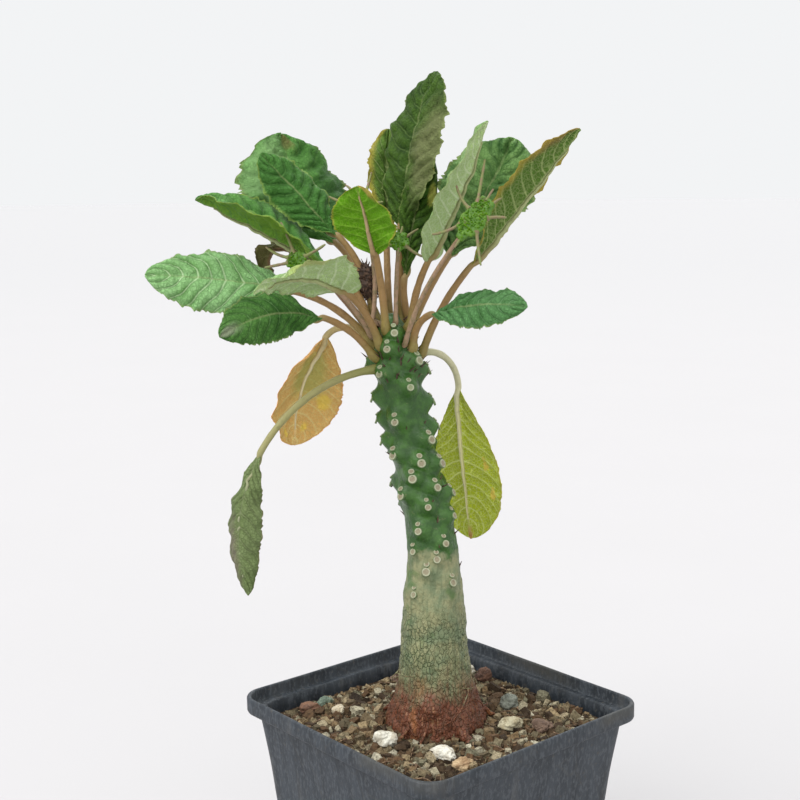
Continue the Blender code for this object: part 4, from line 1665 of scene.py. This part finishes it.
@dataclass
class Stone:
    """One loose stone: its place and sizes in millimetres in the plant's frame, and its two shades."""

    name: str
    across: float
    back: float
    size: tuple[float, float, float]
    spin: float
    colour: Colour
    vein: Colour
    slot: Slot = Slot.PEBBLE_PALE

    def build(self, grit: Grit) -> Piece:
        """Builds the stone, lumpy and pitted, resting in the grit.

        Args:
            grit: the grit.

        Returns:
            The stone.
        """
        lump = bmesh.new()
        bmesh.ops.create_icosphere(lump, subdivisions=5, radius=0.5)
        draw = random.Random(self.name)
        shift = Vector((draw.random(), draw.random(), draw.random())) * 10
        for vert in lump.verts:
            swell = 1.0 + 0.34 * noise.noise(vert.co * 2.2 + shift)
            facet = 0.26 * abs(noise.noise(vert.co * 4.5 + shift * 1.7)) + 0.04 * noise.noise(vert.co * 11 + shift)
            vert.co *= swell - facet
            vert.co = Vector([c * s for c, s in zip(vert.co, self.size)]) * MM
        c, s = math.cos(PLANT_TURN), math.sin(PLANT_TURN)
        x, y = self.across * c - self.back * s, self.across * s + self.back * c
        lift = grit.height(x, y) + self.size[2] * 0.5
        turn = Matrix.Rotation(PLANT_TURN + math.radians(self.spin), 4, "Z")
        place = Matrix.Translation(Vector((x, y, lift)) * MM)
        bmesh.ops.transform(lump, matrix=place @ turn, verts=lump.verts)
        mesh = bpy.data.meshes.new("fine_" + self.name)
        lump.to_mesh(mesh)
        lump.free()
        mesh.materials.append(self.dress())
        return show("fine_" + self.name, mesh, 60)

    def dress(self) -> Material:
        """Mixes the stone's two shades, and dark spots of painted shade for its pits.

        Returns:
            The material.
        """
        r = Recipe(self.name)
        fine = r.clouds(1500.0, 5.0)
        wide = r.clouds(300.0, 4.0)
        colour = r.mix(wide.ramp(0.4, 0.62), self.colour, self.vein)
        colour = r.mix(fine.ramp(0.5, 0.75) * 0.45, colour, tuple(0.4 * v for v in self.vein))
        # Painted shade: small dark spots stand for the shade inside pits.
        colour = r.mix(r.cells(480.0).ramp(0.16, 0.05) * 0.4, colour, (0.05, 0.035, 0.02))
        relief = r.bump(fine, 0.35 * MM)
        relief = r.bump(wide, 0.6 * MM, relief)
        return r.finish(Base_Color=colour, Roughness=0.72 + fine * 0.2, Normal=relief)


# --- flowers


@dataclass
class Flower:
    """One flower head on its stalk. Angles are degrees, lengths millimetres, in the plant's frame.

    facing is the bearing and rise of the way its florets face. wide and tall are the disc's full
    sizes, lean turns it in its own plane, and arms gives each arm's angle round the disc and length.
    """

    name: str
    height: float
    bearing: float
    turn: float
    rise: tuple[float, float]
    stalk: float
    facing: tuple[float, float]
    wide: float
    tall: float
    lean: float
    arms: tuple[tuple[float, float], ...]
    thickness: float = 1.6
    stalk_radius: float = 0.8
    sides: int = 96

    def stalk_line(self, stem: Stem) -> Array:
        """The line of the stalk, from inside the stem to the back of the disc.

        Args:
            stem: the stem that it leaves.

        Returns:
            Its stations.
        """
        clear = np.interp(self.height, *zip(*stem.profile)) + 0.6
        clear += self.stalk_radius * abs(math.sin(math.radians(self.rise[0])))
        start = stem.middle(self.height) + aim(self.bearing, 0.0) * clear
        share = (np.arange(48) + 0.5) / 48
        ways = aim(self.bearing + self.turn * share, self.rise[0] + (self.rise[1] - self.rise[0]) * share)
        line = start + np.concatenate([[[0, 0, 0]], np.cumsum(ways * self.stalk / 48, axis=0)])
        inward = start - aim(self.bearing, 0.0) * 3.5 - ways[0] * 1.5
        return np.concatenate([[inward], line])

    def build(self, stem: Stem) -> Piece:
        """Builds the stalk, disc, arms and florets.

        Args:
            stem: the stem that it leaves.

        Returns:
            The flower head as one object.
        """
        line = self.stalk_line(stem)
        face = aim(*self.facing)
        across = unit(np.cross(face, (0, 0, 1.0)))
        upward = np.cross(across, face)
        lean = math.radians(self.lean)
        wide_way = across * math.cos(lean) + upward * math.sin(lean)
        tall_way = np.cross(face, wide_way)
        middle = line[-1] + face * self.thickness * 0.3
        lattice = Lattice()
        angle = np.linspace(0, math.tau, self.sides, endpoint=False)
        profile = [(0.10, -0.95), (0.25, -0.85), (0.5, -0.65), (0.8, -0.4), (0.95, -0.2), (1.0, 0.0), (0.98, 0.2)]
        profile += [(r, 0.34 + 0.1 * (1 - r)) for r in (0.92, 0.84, 0.74, 0.63, 0.52, 0.41, 0.3, 0.19, 0.08)]
        wavy = 1 + 0.07 * np.sin(angle * 5 + self.lean) + 0.04 * np.sin(angle * 11 + 2) + 0.02 * np.sin(angle * 23)
        flat = wide_way[None] * (np.cos(angle) * self.wide / 2 * wavy)[:, None]
        flat = flat + tall_way[None] * (np.sin(angle) * self.tall / 2 * wavy)[:, None]
        rings, front = [], []
        for share, lift in profile:
            ring = middle + flat * share
            bump = rough(ring, 0.55, 2.0) * 0.55 * (1 if lift > 0 else 0.4)
            rings.append(ring + face * (lift * self.thickness + bump)[:, None])
            front.append(np.full(self.sides, 1.0 if lift > 0.2 and share < 0.9 else 0.0))
        uv = joined(angle[None, :] * 3, np.arange(len(profile))[:, None] * 1.0)
        lattice.loft(turned(np.array(rings) * MM), uv, 0, front=np.array(front))
        share = np.linspace(0, 1, len(line))
        girth = np.interp(share, (0, 0.1, 0.85, 1), (1.2, 0.95, 0.75, 1.3)) * self.stalk_radius
        girth = girth * (1 + 0.08 * rough(line, 0.5, 1.0))
        lattice.tube(turned(line * MM), girth * MM, 1, 14)
        draw = random.Random(self.name)
        for turn, length in self.arms:
            a = math.radians(turn)
            edge = wide_way * math.cos(a) * self.wide / 2 + tall_way * math.sin(a) * self.tall / 2
            out = edge / np.linalg.norm(edge)
            bend = np.cross(out, face) * draw.uniform(-0.14, 0.14) + face * draw.uniform(-0.10, 0.14)
            share = np.linspace(0, 1, 22)[:, None]
            arm = middle + edge * 0.82 + out * share * (length + 0.18 * np.linalg.norm(edge)) * 0.985
            arm = arm + bend * length * (4 * share * (1 - share)) * 0.5
            radii = np.interp(share[:, 0], (0, 0.12, 0.8, 1), (1.0, 0.52, 0.40, 0.28))
            radii = radii * (0.8 if length < 5 else 1.0)
            radii = radii * (1 + 0.18 * rough(arm, 1.1, turn))
            lattice.tube(turned(arm * MM), radii * MM, 2, 12)
        looks = FlowerSkin(self.name)
        head = lattice.build("fine_" + self.name, [looks.disc(), looks.stalk(), looks.arm()], 80)
        kit = Repeater(self.name + " florets")
        gap = kit.size("Apart", 0.5 * MM)
        span = kit.size("Floret", 0.6 * MM)
        strewn = kit.strew(gap, 4.0e6, 21, kit.above("front", 0.6))
        points = kit.store(strewn.outputs["Points"], "tint", kit.draw(0.0, 1.0, 5))
        grow = span * kit.draw(0.55, 1.3, 6)
        ball = kit.add("GeometryNodeMeshUVSphere", None, {"Segments": 9, "Rings": 6, "Radius": 0.5})
        scale = kit.vector(grow, grow, grow * kit.draw(0.8, 1.6, 7))
        turn = strewn.outputs["Rotation"]
        florets = kit.plant(points, ball.outputs["Mesh"], turn, scale)
        florets = kit.swell(florets, 1500.0, 0.3 * MM)
        kit.run(head, florets, looks.floret(), keep=True)
        head.data.shade_smooth()
        return head


@dataclass(frozen=True)
class FlowerSkin:
    """Lime-green disc and florets, pinkish stalk, and arms that go from green to brown."""

    name: str
    green: Colour = (0.050, 0.14, 0.004)
    lime: Colour = (0.085, 0.20, 0.003)
    brown: Colour = (0.09, 0.06, 0.025)
    pink: Colour = (0.30, 0.19, 0.115)

    def disc(self) -> Material:
        """The disc's finish.

        Returns:
            The material.
        """
        r = Recipe(self.name + "_disc")
        fine = r.clouds(800.0, 4.0)
        colour = r.mix(fine.ramp(0.35, 0.65), self.green, self.lime)
        colour = r.mix(r.clouds(260.0).ramp(0.58, 0.72) * 0.6, colour, self.brown)
        return r.finish(Base_Color=colour, Roughness=0.5 + fine * 0.1, Normal=r.bump(fine, 0.4 * MM))

    def floret(self) -> Material:
        """The florets' finish.

        Returns:
            The material.
        """
        r = Recipe(self.name + "_florets")
        tint = r.mark("tint")
        fine = r.clouds(1800.0, 3.0)
        colour = r.mix(tint.ramp(0.2, 0.9), self.green, self.lime)
        colour = r.mix(tint.ramp(0.94, 0.99) * 0.5, colour, self.brown)
        colour = r.mix(fine.ramp(0.55, 0.8) * 0.35, colour, (0.20, 0.28, 0.07))
        return r.finish(
            Base_Color=colour, Roughness=0.5 + fine * 0.1, Normal=r.bump(fine, 0.2 * MM), Specular_IOR_Level=0.15
        )

    def stalk(self) -> Material:
        """The stalk's finish.

        Returns:
            The material.
        """
        r = Recipe(self.name + "_stalk")
        fine = r.clouds(700.0, 4.0)
        colour = r.mix(fine.ramp(0.4, 0.7) * 0.7, self.pink, (0.13, 0.12, 0.04))
        return r.finish(Base_Color=colour, Roughness=0.5 + fine * 0.1, Normal=r.bump(fine, 0.25 * MM))

    def arm(self) -> Material:
        """The arms' finish.

        Returns:
            The material.
        """
        r = Recipe(self.name + "_arms")
        fine = r.clouds(500.0, 4.0)
        colour = r.mix(fine.ramp(0.35, 0.7), (0.16, 0.19, 0.05), (0.20, 0.12, 0.075))
        return r.finish(Base_Color=colour, Roughness=0.55 + fine * 0.1, Normal=r.bump(fine, 0.3 * MM))


@dataclass
class SpentHead:
    """A dried-out flower head between the stalks, in millimetres in the plant's frame."""

    place: tuple[float, float, float] = (-21.5, 2.0, 227.0)
    size: tuple[float, float, float] = (3.2, 3.0, 5.0)

    def build(self, stem: Stem) -> Piece:
        """Builds the dry head with its bristles, on a withered stalk.

        Args:
            stem: the stem that it leaves.

        Returns:
            The head as one object.
        """
        middle = np.array(self.place)
        lattice = Lattice()
        turn = np.linspace(0, math.tau, 48, endpoint=False)[None, :]
        slope = np.radians(np.linspace(-84, 84, 30))[:, None]
        ball = joined(np.cos(turn) * np.cos(slope), np.sin(turn) * np.cos(slope), np.sin(slope))
        lump = middle + ball * np.array(self.size) * (1 + 0.35 * rough(ball, 1.6, 4.0))[..., None]
        uv = joined(turn, slope)
        lattice.loft(turned(lump * MM), uv, 0, front=np.ones(lump.shape[:2]))
        start = stem.middle(208.0) + np.array([-4.0, 0.5, 0.0])
        share = np.linspace(0, 1, 20)[:, None]
        line = start * (1 - share) + middle * share + np.array([0.0, 0.0, -1.5]) * np.sin(share * math.pi)
        lattice.tube(turned(line * MM), np.full(20, 0.7) * MM, 0, 10)
        finish = DrySkin("spent flower", (0.035, 0.018, 0.011), (0.12, 0.065, 0.035), 0.75).dress()
        head = lattice.build("fine_spent_flower", [finish], 80)
        kit = Repeater("bristles")
        gap = kit.size("Apart", 0.8 * MM)
        reach = kit.size("Reach", 2.1 * MM)
        strewn = kit.strew(gap, 3.0e6, 3, kit.above("front", 0.5))
        cone = kit.add("GeometryNodeMeshCone", None, {"Vertices": 5, "Side Segments": 2})
        for key, value in (("Radius Top", 0.02 * MM), ("Radius Bottom", 0.3 * MM), ("Depth", reach)):
            kit.feed(cone.inputs[key], value)
        span = kit.draw(0.5, 1.2, 9)
        turns, scale = strewn.outputs["Rotation"], kit.vector(1.0, 1.0, span)
        bristles = kit.plant(strewn.outputs["Points"], cone.outputs["Mesh"], turns, scale)
        return kit.run(head, kit.swell(bristles, 900.0, 0.7 * MM), finish, keep=True)


# --- the studio


@dataclass
class Studio:
    """A pale floor, soft lights and the camera."""

    place: tuple[float, float, float] = (-11.8, -423.0, 259.5)
    pitch: float = 9.4
    roll: float = -0.55
    lens: float = 60.75
    floor_radius: float = 14.0

    def camera(self) -> None:
        """The camera, level but for its pitch and a slight roll."""
        p, q = math.radians(self.pitch), math.radians(self.roll)
        right = np.array([1.0, 0.0, 0.0])
        down = np.array([0.0, -math.sin(p), -math.cos(p)])
        ahead = np.array([0.0, math.cos(p), -math.sin(p)])
        across = math.cos(q) * right - math.sin(q) * down
        below = math.sin(q) * right + math.cos(q) * down
        axes = turned(np.array([across, -below, -ahead]))
        data = bpy.data.cameras.new("camera")
        data.lens = self.lens
        data.sensor_width = 36.0
        data.clip_start = 0.01
        camera = bpy.data.objects.new("camera", data)
        spot = turned(np.array(self.place)[None] * MM)[0]
        camera.matrix_world = Matrix.Translation(Vector(spot)) @ Matrix(axes.T.tolist()).to_4x4()
        bpy.context.scene.collection.objects.link(camera)
        bpy.context.scene.camera = camera

    def floor(self) -> None:
        """A plain pale floor that runs to the horizon."""
        mesh = bpy.data.meshes.new("floor")
        disc = bmesh.new()
        bmesh.ops.create_circle(disc, cap_ends=True, segments=96, radius=self.floor_radius)
        disc.to_mesh(mesh)
        disc.free()
        r = Recipe("studio floor")
        fine = r.clouds(6.0)
        away = (r.axis("X") ** 2 + r.axis("Y") ** 2) ** 0.5
        near = r.mix(fine, (0.495, 0.486, 0.49), (0.51, 0.50, 0.505))
        colour = r.mix(away.ramp(0.5, 4.0), near, (0.484, 0.480, 0.485))
        mesh.materials.append(r.finish(Base_Color=colour, Roughness=0.9))
        floor = bpy.data.objects.new("floor", mesh)
        floor.location.z = -0.0005
        bpy.context.scene.collection.objects.link(floor)
        floor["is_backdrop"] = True

    def light(self, name: str, bearing: float, rise: float, spread: float, strength: float) -> None:
        """A broad soft light.

        Args:
            name: its name.
            bearing: the bearing that it comes from, in the plant's frame.
            rise: its slope.
            spread: the angle that it fills.
            strength: its strength.
        """
        data = bpy.data.lights.new(name, "SUN")
        data.angle = math.radians(spread)
        data.energy = strength
        lamp = bpy.data.objects.new(name, data)
        way = turned(aim(bearing, rise)[None])[0]
        lamp.matrix_world = Matrix.Translation(way) @ Vector(way).to_track_quat("Z", "Y").to_matrix().to_4x4()
        bpy.context.scene.collection.objects.link(lamp)

    def build(self) -> None:
        """Camera, floor, lights and the pale surround."""
        self.camera()
        self.floor()
        self.light("key", 215, 52, 40.0, 2.3)
        self.light("back", 70, 50, 50.0, 0.9)
        self.light("fill", 285, 18, 60.0, 0.8)
        world = bpy.data.worlds.new("studio")
        world.use_nodes = True
        shade = world.node_tree.nodes["Background"]
        shade.inputs["Color"].default_value = (0.892, 0.903, 0.913, 1.0)
        shade.inputs["Strength"].default_value = 1.0
        bpy.context.scene.world = world
        bpy.context.scene.view_settings.view_transform = "Standard"


# --- the plant's own list of pieces

# The second colour of each finish is its pillow colour, the painted highlight on the raised pillows.
DEEP = LeafFinish((0.030, 0.110, 0.014), (0.095, 0.245, 0.050), (0.13, 0.25, 0.07), (0.085, 0.20, 0.045))
LIGHT = LeafFinish(
    (0.11, 0.25, 0.07), (0.24, 0.44, 0.18), (0.20, 0.35, 0.12), (0.42, 0.56, 0.32), vein_strength=0.8
)  # fmt: skip
DARK = LeafFinish((0.018, 0.075, 0.008), (0.065, 0.165, 0.032), (0.09, 0.17, 0.05), (0.12, 0.22, 0.08))
PALE = LeafFinish((0.17, 0.30, 0.10), (0.24, 0.38, 0.14), (0.34, 0.46, 0.19), (0.52, 0.60, 0.38), vein_strength=0.8)
LOW = LeafFinish((0.040, 0.125, 0.030), (0.090, 0.215, 0.075), (0.13, 0.25, 0.08), (0.15, 0.28, 0.13))
SHADED = LeafFinish((0.018, 0.048, 0.004), (0.052, 0.108, 0.011), (0.09, 0.15, 0.04), (0.10, 0.16, 0.045))
LIME = replace(DEEP, under=(0.13, 0.26, 0.025), edge=(0.24, 0.32, 0.05))
INNER = replace(
    DEEP, upper=(0.022, 0.085, 0.010), pillow=(0.060, 0.175, 0.032), edge=(0.24, 0.34, 0.08), edge_from=0.88
)  # fmt: skip
BRIGHT = LeafFinish(
    (0.06, 0.18, 0.004), (0.10, 0.27, 0.006), (0.085, 0.23, 0.003), (0.20, 0.38, 0.035),
    rib=(0.38, 0.27, 0.15), edge=(0.34, 0.25, 0.05), edge_from=0.92,
)  # fmt: skip
CORRUGATED = LeafFinish((0.030, 0.095, 0.018), (0.14, 0.255, 0.072), (0.15, 0.28, 0.09), (0.09, 0.19, 0.05))
AGEING = LeafFinish(
    (0.06, 0.13, 0.016), (0.11, 0.19, 0.03), (0.065, 0.13, 0.018), (0.30, 0.36, 0.14),
    edge=(0.40, 0.28, 0.04), edge_from=0.6, vein_strength=0.7,
)  # fmt: skip
# depth=1.62 on ORANGE, above the usual 1.27, paints the light that shines through the hanging orange leaf.
ORANGE = LeafFinish(
    (0.47, 0.26, 0.075), (0.58, 0.34, 0.11), (0.52, 0.32, 0.10), (0.60, 0.50, 0.22),
    rib=(0.70, 0.62, 0.38), stalk=(0.46, 0.36, 0.16), edge=(0.50, 0.22, 0.07), roughness=0.5, depth=1.62,
)  # fmt: skip
YELLOW = LeafFinish(
    (0.28, 0.36, 0.018), (0.36, 0.43, 0.022), (0.34, 0.41, 0.022), (0.62, 0.68, 0.25),
    rib=(0.60, 0.56, 0.30), stalk=(0.50, 0.48, 0.30), edge=(0.38, 0.30, 0.05), edge_from=0.94, depth=1.3,
)  # fmt: skip
DULL = LeafFinish(
    (0.12, 0.17, 0.055), (0.19, 0.25, 0.10), (0.17, 0.21, 0.10), (0.25, 0.29, 0.14),
    rib=(0.26, 0.28, 0.16), stalk=(0.27, 0.25, 0.10), edge=(0.17, 0.12, 0.07), depth=1.0,
)  # fmt: skip
DRY = LeafFinish(
    (0.06, 0.065, 0.018), (0.14, 0.14, 0.05), (0.12, 0.11, 0.04), (0.17, 0.15, 0.07),
    rib=(0.18, 0.11, 0.06), stalk=(0.20, 0.11, 0.05), edge=(0.07, 0.045, 0.02), roughness=0.6,
)  # fmt: skip

RUST = (0.20, 0.09, 0.045)
BLISTER = (0.36, 0.35, 0.07)
DROP = (0.62, 0.46, 0.08)


def with_patches(finish: LeafFinish, *patches: Patch) -> LeafFinish:
    """The same finish with these patches on it."""
    return replace(finish, patches=patches)


LEAVES = (
    # leaf_back_left_broad: the first patch darkens one half as painted shade, and the third lightens the other half
    # as painted light.
    Leaf("leaf_back_left_broad", 215, 140, -15, (75, 31, 70), 30, 47, 41, 0, (5, 5), 0.58,
         with_patches(DEEP, Patch(0.75, 0.45, 0.42, (0.022, 0.075, 0.012), 0.75), Patch(0.1, 0.95, 0.13, RUST, 0.4),
                      Patch(-0.5, 0.7, 0.40, (0.21, 0.36, 0.14), 0.6)),
         veins=8, relief=1.3, wave=0.8, crumple=0.9),
    Leaf("leaf_left_folded", 212, 180, -6, (86, 30, 25), 24, 47, 29, 30, (62, 10), 0.55,
         with_patches(LIME, Patch(-0.75, 0.35, 0.40, (0.13, 0.25, 0.022), 0.85)), veins=9, relief=1.0),
    Leaf("leaf_left_inner", 216, 163, -4, (88, 45, 45), 28, 37, 17, 50, (8, -12), 0.55, INNER, veins=9, teeth=0.10,
         relief=1.0),
    Leaf("leaf_left_low_broad", 208, 176, 11, (55, 14, 0), 29, 47, 21, 60, (-5, -5), 0.55, LIGHT, veins=10,
         relief=1.0, wave=0.5, crumple=0.6),
    Leaf("leaf_left_low_dark", 204, 208, 11, (56, 19, -29), 22, 37, 16, 60, (-8, -5), 0.55,
         with_patches(DARK, Patch(0.0, 1.0, 0.30, (0.20, 0.22, 0.15), 0.8)), veins=11, teeth=0.09, relief=0.5),
    Leaf("leaf_front_left_pale", 208, 233, -7, (66, 30, -24), 24, 38, 23, -75, (-33, 62), 0.35,
         with_patches(PALE, Patch(-0.9, 0.6, 0.25, BLISTER, 0.5)), veins=7, relief=0.7, wave=0.7, crumple=0.6),
    Leaf("leaf_front_bright", 213, 252, -18, (80, 67, 64), 24, 23, 22, 0, (-8, -8), 0.55,
         with_patches(BRIGHT, Patch(-0.8, 0.95, 0.22, (0.34, 0.20, 0.06), 0.7)), veins=7, relief=0.35, wave=0.5,
         curl=-10.0, crumple=0.35, teeth=0.05),
    Leaf("leaf_tall_back", 215, 62, -20, (98, 85, 57), 29, 51, 26, 10, (5, 5), 0.57,
         with_patches(SHADED, Patch(0.8, 0.45, 0.42, (0.135, 0.15, 0.06), 0.85)),
         veins=10, relief=1.1, wave=0.7, crumple=0.8, fullness=0.5),
    Leaf("leaf_thin_back_left", 214, 98, -16, (71, 68, 58), 27, 40, 14, 0, (45, 45), 0.6, AGEING, veins=10,
         wave=0.8, crumple=0.9),
    Leaf("leaf_spotted_back", 212, 39, -41, (116, 83, 69), 16, 39, 10.5, -75, (10, 10), 0.6,
         with_patches(SHADED, Patch(0.0, 0.85, 0.34, (0.055, 0.14, 0.014), 0.8),
                      Patch(0.7, 0.7, 0.12, BLISTER, 0.7), Patch(-0.5, 0.86, 0.09, BLISTER, 0.7),
                      Patch(0.6, 0.94, 0.06, BLISTER, 0.7)),
         veins=10, relief=1.0, crumple=0.9),
    Leaf("leaf_right_narrow", 214, 325, 16, (84, 60, 70), 21, 46, 25, 0, (55, 18), 0.36, PALE, veins=10, relief=0.5,
         teeth=0.07),
    Leaf("leaf_back_right_broad", 211, 45, 10, (59, 42, 50), 29, 54, 32, -20, (20, 15), 0.58, CORRUGATED, veins=11,
         relief=1.6, wave=0.6, crumple=0.8),
    Leaf("leaf_right_yellowing", 204, 352, 4, (72, 50, 52), 32, 53, 22, 45, (48, 12), 0.55,
         with_patches(AGEING, Patch(-0.8, 0.75, 0.3, (0.32, 0.30, 0.06), 0.8), Patch(0.9, 0.9, 0.25, RUST, 0.5)),
         veins=11, relief=0.75, wave=0.5, teeth=0.06, slot=Slot.LEAF_YELLOW),
    Leaf("leaf_right_low", 207, 315, 21, (92, 19, -6), 14, 33, 15, -46, (-5, -5), 0.55, LOW, veins=9, relief=0.9),
    Leaf("leaf_hanging_orange", 204, 156, -12, (80, -50, -90), 22, 40, 28, -25, (-20, -15), 0.55,
         with_patches(ORANGE, Patch(0.1, 0.35, 0.36, (0.33, 0.33, 0.09), 0.75), Patch(0.6, 0.6, 0.10, DROP, 0.8),
                      Patch(0.3, 0.85, 0.08, DROP, 0.8), Patch(-0.5, 0.86, 0.05, DROP, 0.8)),
         veins=9, relief=0.5, wave=0.4, teeth=0.035, fullness=0.55, slot=Slot.LEAF_YELLOW),
    Leaf("leaf_drooping_long", 200, 209, -1, (-1, -57, -109), 48, 46, 14, 30, (-28, -22), 0.55,
         with_patches(DULL, Patch(0.5, 0.7, 0.3, (0.20, 0.15, 0.13), 0.6)), veins=11, relief=0.5, wave=0.6,
         crumple=0.35),
    Leaf("leaf_hanging_yellow", 203, 37, 8, (20, -86, -81), 25, 53, 28, 15, (15, 8), 0.62,
         with_patches(YELLOW, Patch(0.0, 1.0, 0.15, (0.36, 0.13, 0.04), 0.85), Patch(0.6, 0.5, 0.04, DROP),
                      Patch(0.75, 0.68, 0.03, DROP)),
         veins=12, relief=0.35, wave=0.2, teeth=0.03, crumple=0.3, fullness=0.6, slot=Slot.LEAF_YELLOW),
    Leaf("leaf_withered", 209, 148, 10, (50, 36, -130), 40, 18, 9, 0, (45, 45), 0.55, DRY, veins=6, relief=0.5,
         wave=1.2, crumple=1.9, slot=Slot.LEAF_DRY),
)  # fmt: skip

FLOWERS = (
    Flower("flower_right", 208, 295, 48, (61, 48), 48, (262, 25), 15.5, 7.6, 124,
           ((10, 3), (46, 13), (76, 8), (126, 8), (185, 3), (242, 10), (289, 5), (330, 3))),
    Flower("flower_middle", 215, 280, 23, (88, 78), 25, (265, 30), 6.5, 6.5, 0,
           ((30, 2), (90, 2), (145, 6), (216, 4), (260, 2), (310, 2))),
    Flower("flower_left", 210, 194, 6, (64, 28), 34, (262, 25), 6.5, 6.5, 0,
           ((12, 7), (90, 3), (150, 3), (213, 7), (295, 11), (335, 8))),
    Flower("flower_back", 215, 197, 43, (100, 66), 36, (240, 50), 8, 7, 0,
           ((60, 4), (130, 3), (200, 3), (282, 13), (313, 11), (340, 11))),
)  # fmt: skip

STONES = (
    Stone("stone_white_left", -17.5, -20.0, (8.0, 6.5, 6.0), 20, (0.72, 0.70, 0.60), (0.50, 0.46, 0.36)),
    Stone("stone_white_front", 0.5, -29.5, (8.0, 6.0, 5.0), -25, (0.74, 0.72, 0.62), (0.55, 0.50, 0.40)),
    Stone("stone_tan_front", 6.5, -36.5, (6.5, 5.0, 4.5), 15,
          (0.52, 0.38, 0.22), (0.30, 0.18, 0.09), Slot.PEBBLE_DARK),
    Stone("stone_grey_right", 24.0, 10.0, (7.5, 6.5, 6.0), 40,
          (0.22, 0.235, 0.19), (0.12, 0.13, 0.105), Slot.PEBBLE_DARK),
    Stone("stone_pale_right", 23.5, -7.5, (8.0, 5.5, 5.0), 10, (0.48, 0.44, 0.30), (0.33, 0.28, 0.17)),
    Stone("stone_pale_back", 11.5, 41.0, (6.5, 5.5, 5.0), 0, (0.50, 0.47, 0.38), (0.32, 0.29, 0.22)),
    Stone("stone_rust_back", 17.0, 35.5, (6.0, 5.0, 6.5), 35,
          (0.15, 0.075, 0.045), (0.07, 0.035, 0.022), Slot.PEBBLE_DARK),
    Stone("stone_green_left", -38.5, 14.0, (6.0, 5.0, 4.5), 50,
          (0.19, 0.25, 0.19), (0.11, 0.15, 0.11), Slot.PEBBLE_DARK),
    Stone("stone_cream_left", -33.5, 8.0, (5.5, 4.5, 4.0), 80, (0.62, 0.56, 0.42), (0.44, 0.36, 0.24)),
    Stone("stone_rust_left", -43.0, 7.0, (7.0, 5.5, 4.5), 15,
          (0.20, 0.10, 0.055), (0.10, 0.05, 0.03), Slot.PEBBLE_DARK),
    Stone("stone_bark_back", -12.0, 36.5, (9.0, 5.5, 3.5), 25,
          (0.16, 0.10, 0.07), (0.07, 0.04, 0.025), Slot.BARK),
    Stone("stone_brown_right", 33.0, -9.0, (7.0, 5.5, 5.0), -30,
          (0.20, 0.13, 0.09), (0.10, 0.06, 0.04), Slot.PEBBLE_DARK),
)  # fmt: skip


def plain(corners: Sequence[Sequence[float]]) -> list[list[float]]:
    """A box's corners as plain lists of numbers."""
    return [[float(value) for value in corner] for corner in corners]


def main() -> None:
    """Builds every piece in order and measures how big the object was and is."""
    logging.basicConfig(level=logging.INFO, format="%(name)s: %(message)s")
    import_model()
    packed = plain(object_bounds())
    pot, stem = Pot(), Stem()
    grit = Grit(pot)
    hand_over(pot.build(), Slot.POT, "pot")
    hand_over(grit.bed(), Slot.GRIT, "grit")
    for grains in grit.grains():
        hand_over(grains, Slot.GRIT)
    hand_over(grit.litter(), Slot.BARK)
    for stone in STONES:
        hand_over(stone.build(grit), stone.slot, stone.name)
    for piece, nodes in zip(stem.build(), (("stem",), (), ())):
        hand_over(piece, Slot.STEM, *nodes)
    for leaf in LEAVES:
        hand_over(leaf.build(stem), leaf.slot, leaf.name)
    for flower in FLOWERS:
        hand_over(flower.build(stem), Slot.FLOWER, flower.name)
    hand_over(SpentHead().build(stem), Slot.FLOWER)
    Studio().build()
    bpy.context.view_layer.update()
    {"packed": packed, "visual": plain(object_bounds())}


if __name__ == "__main__":
    main()
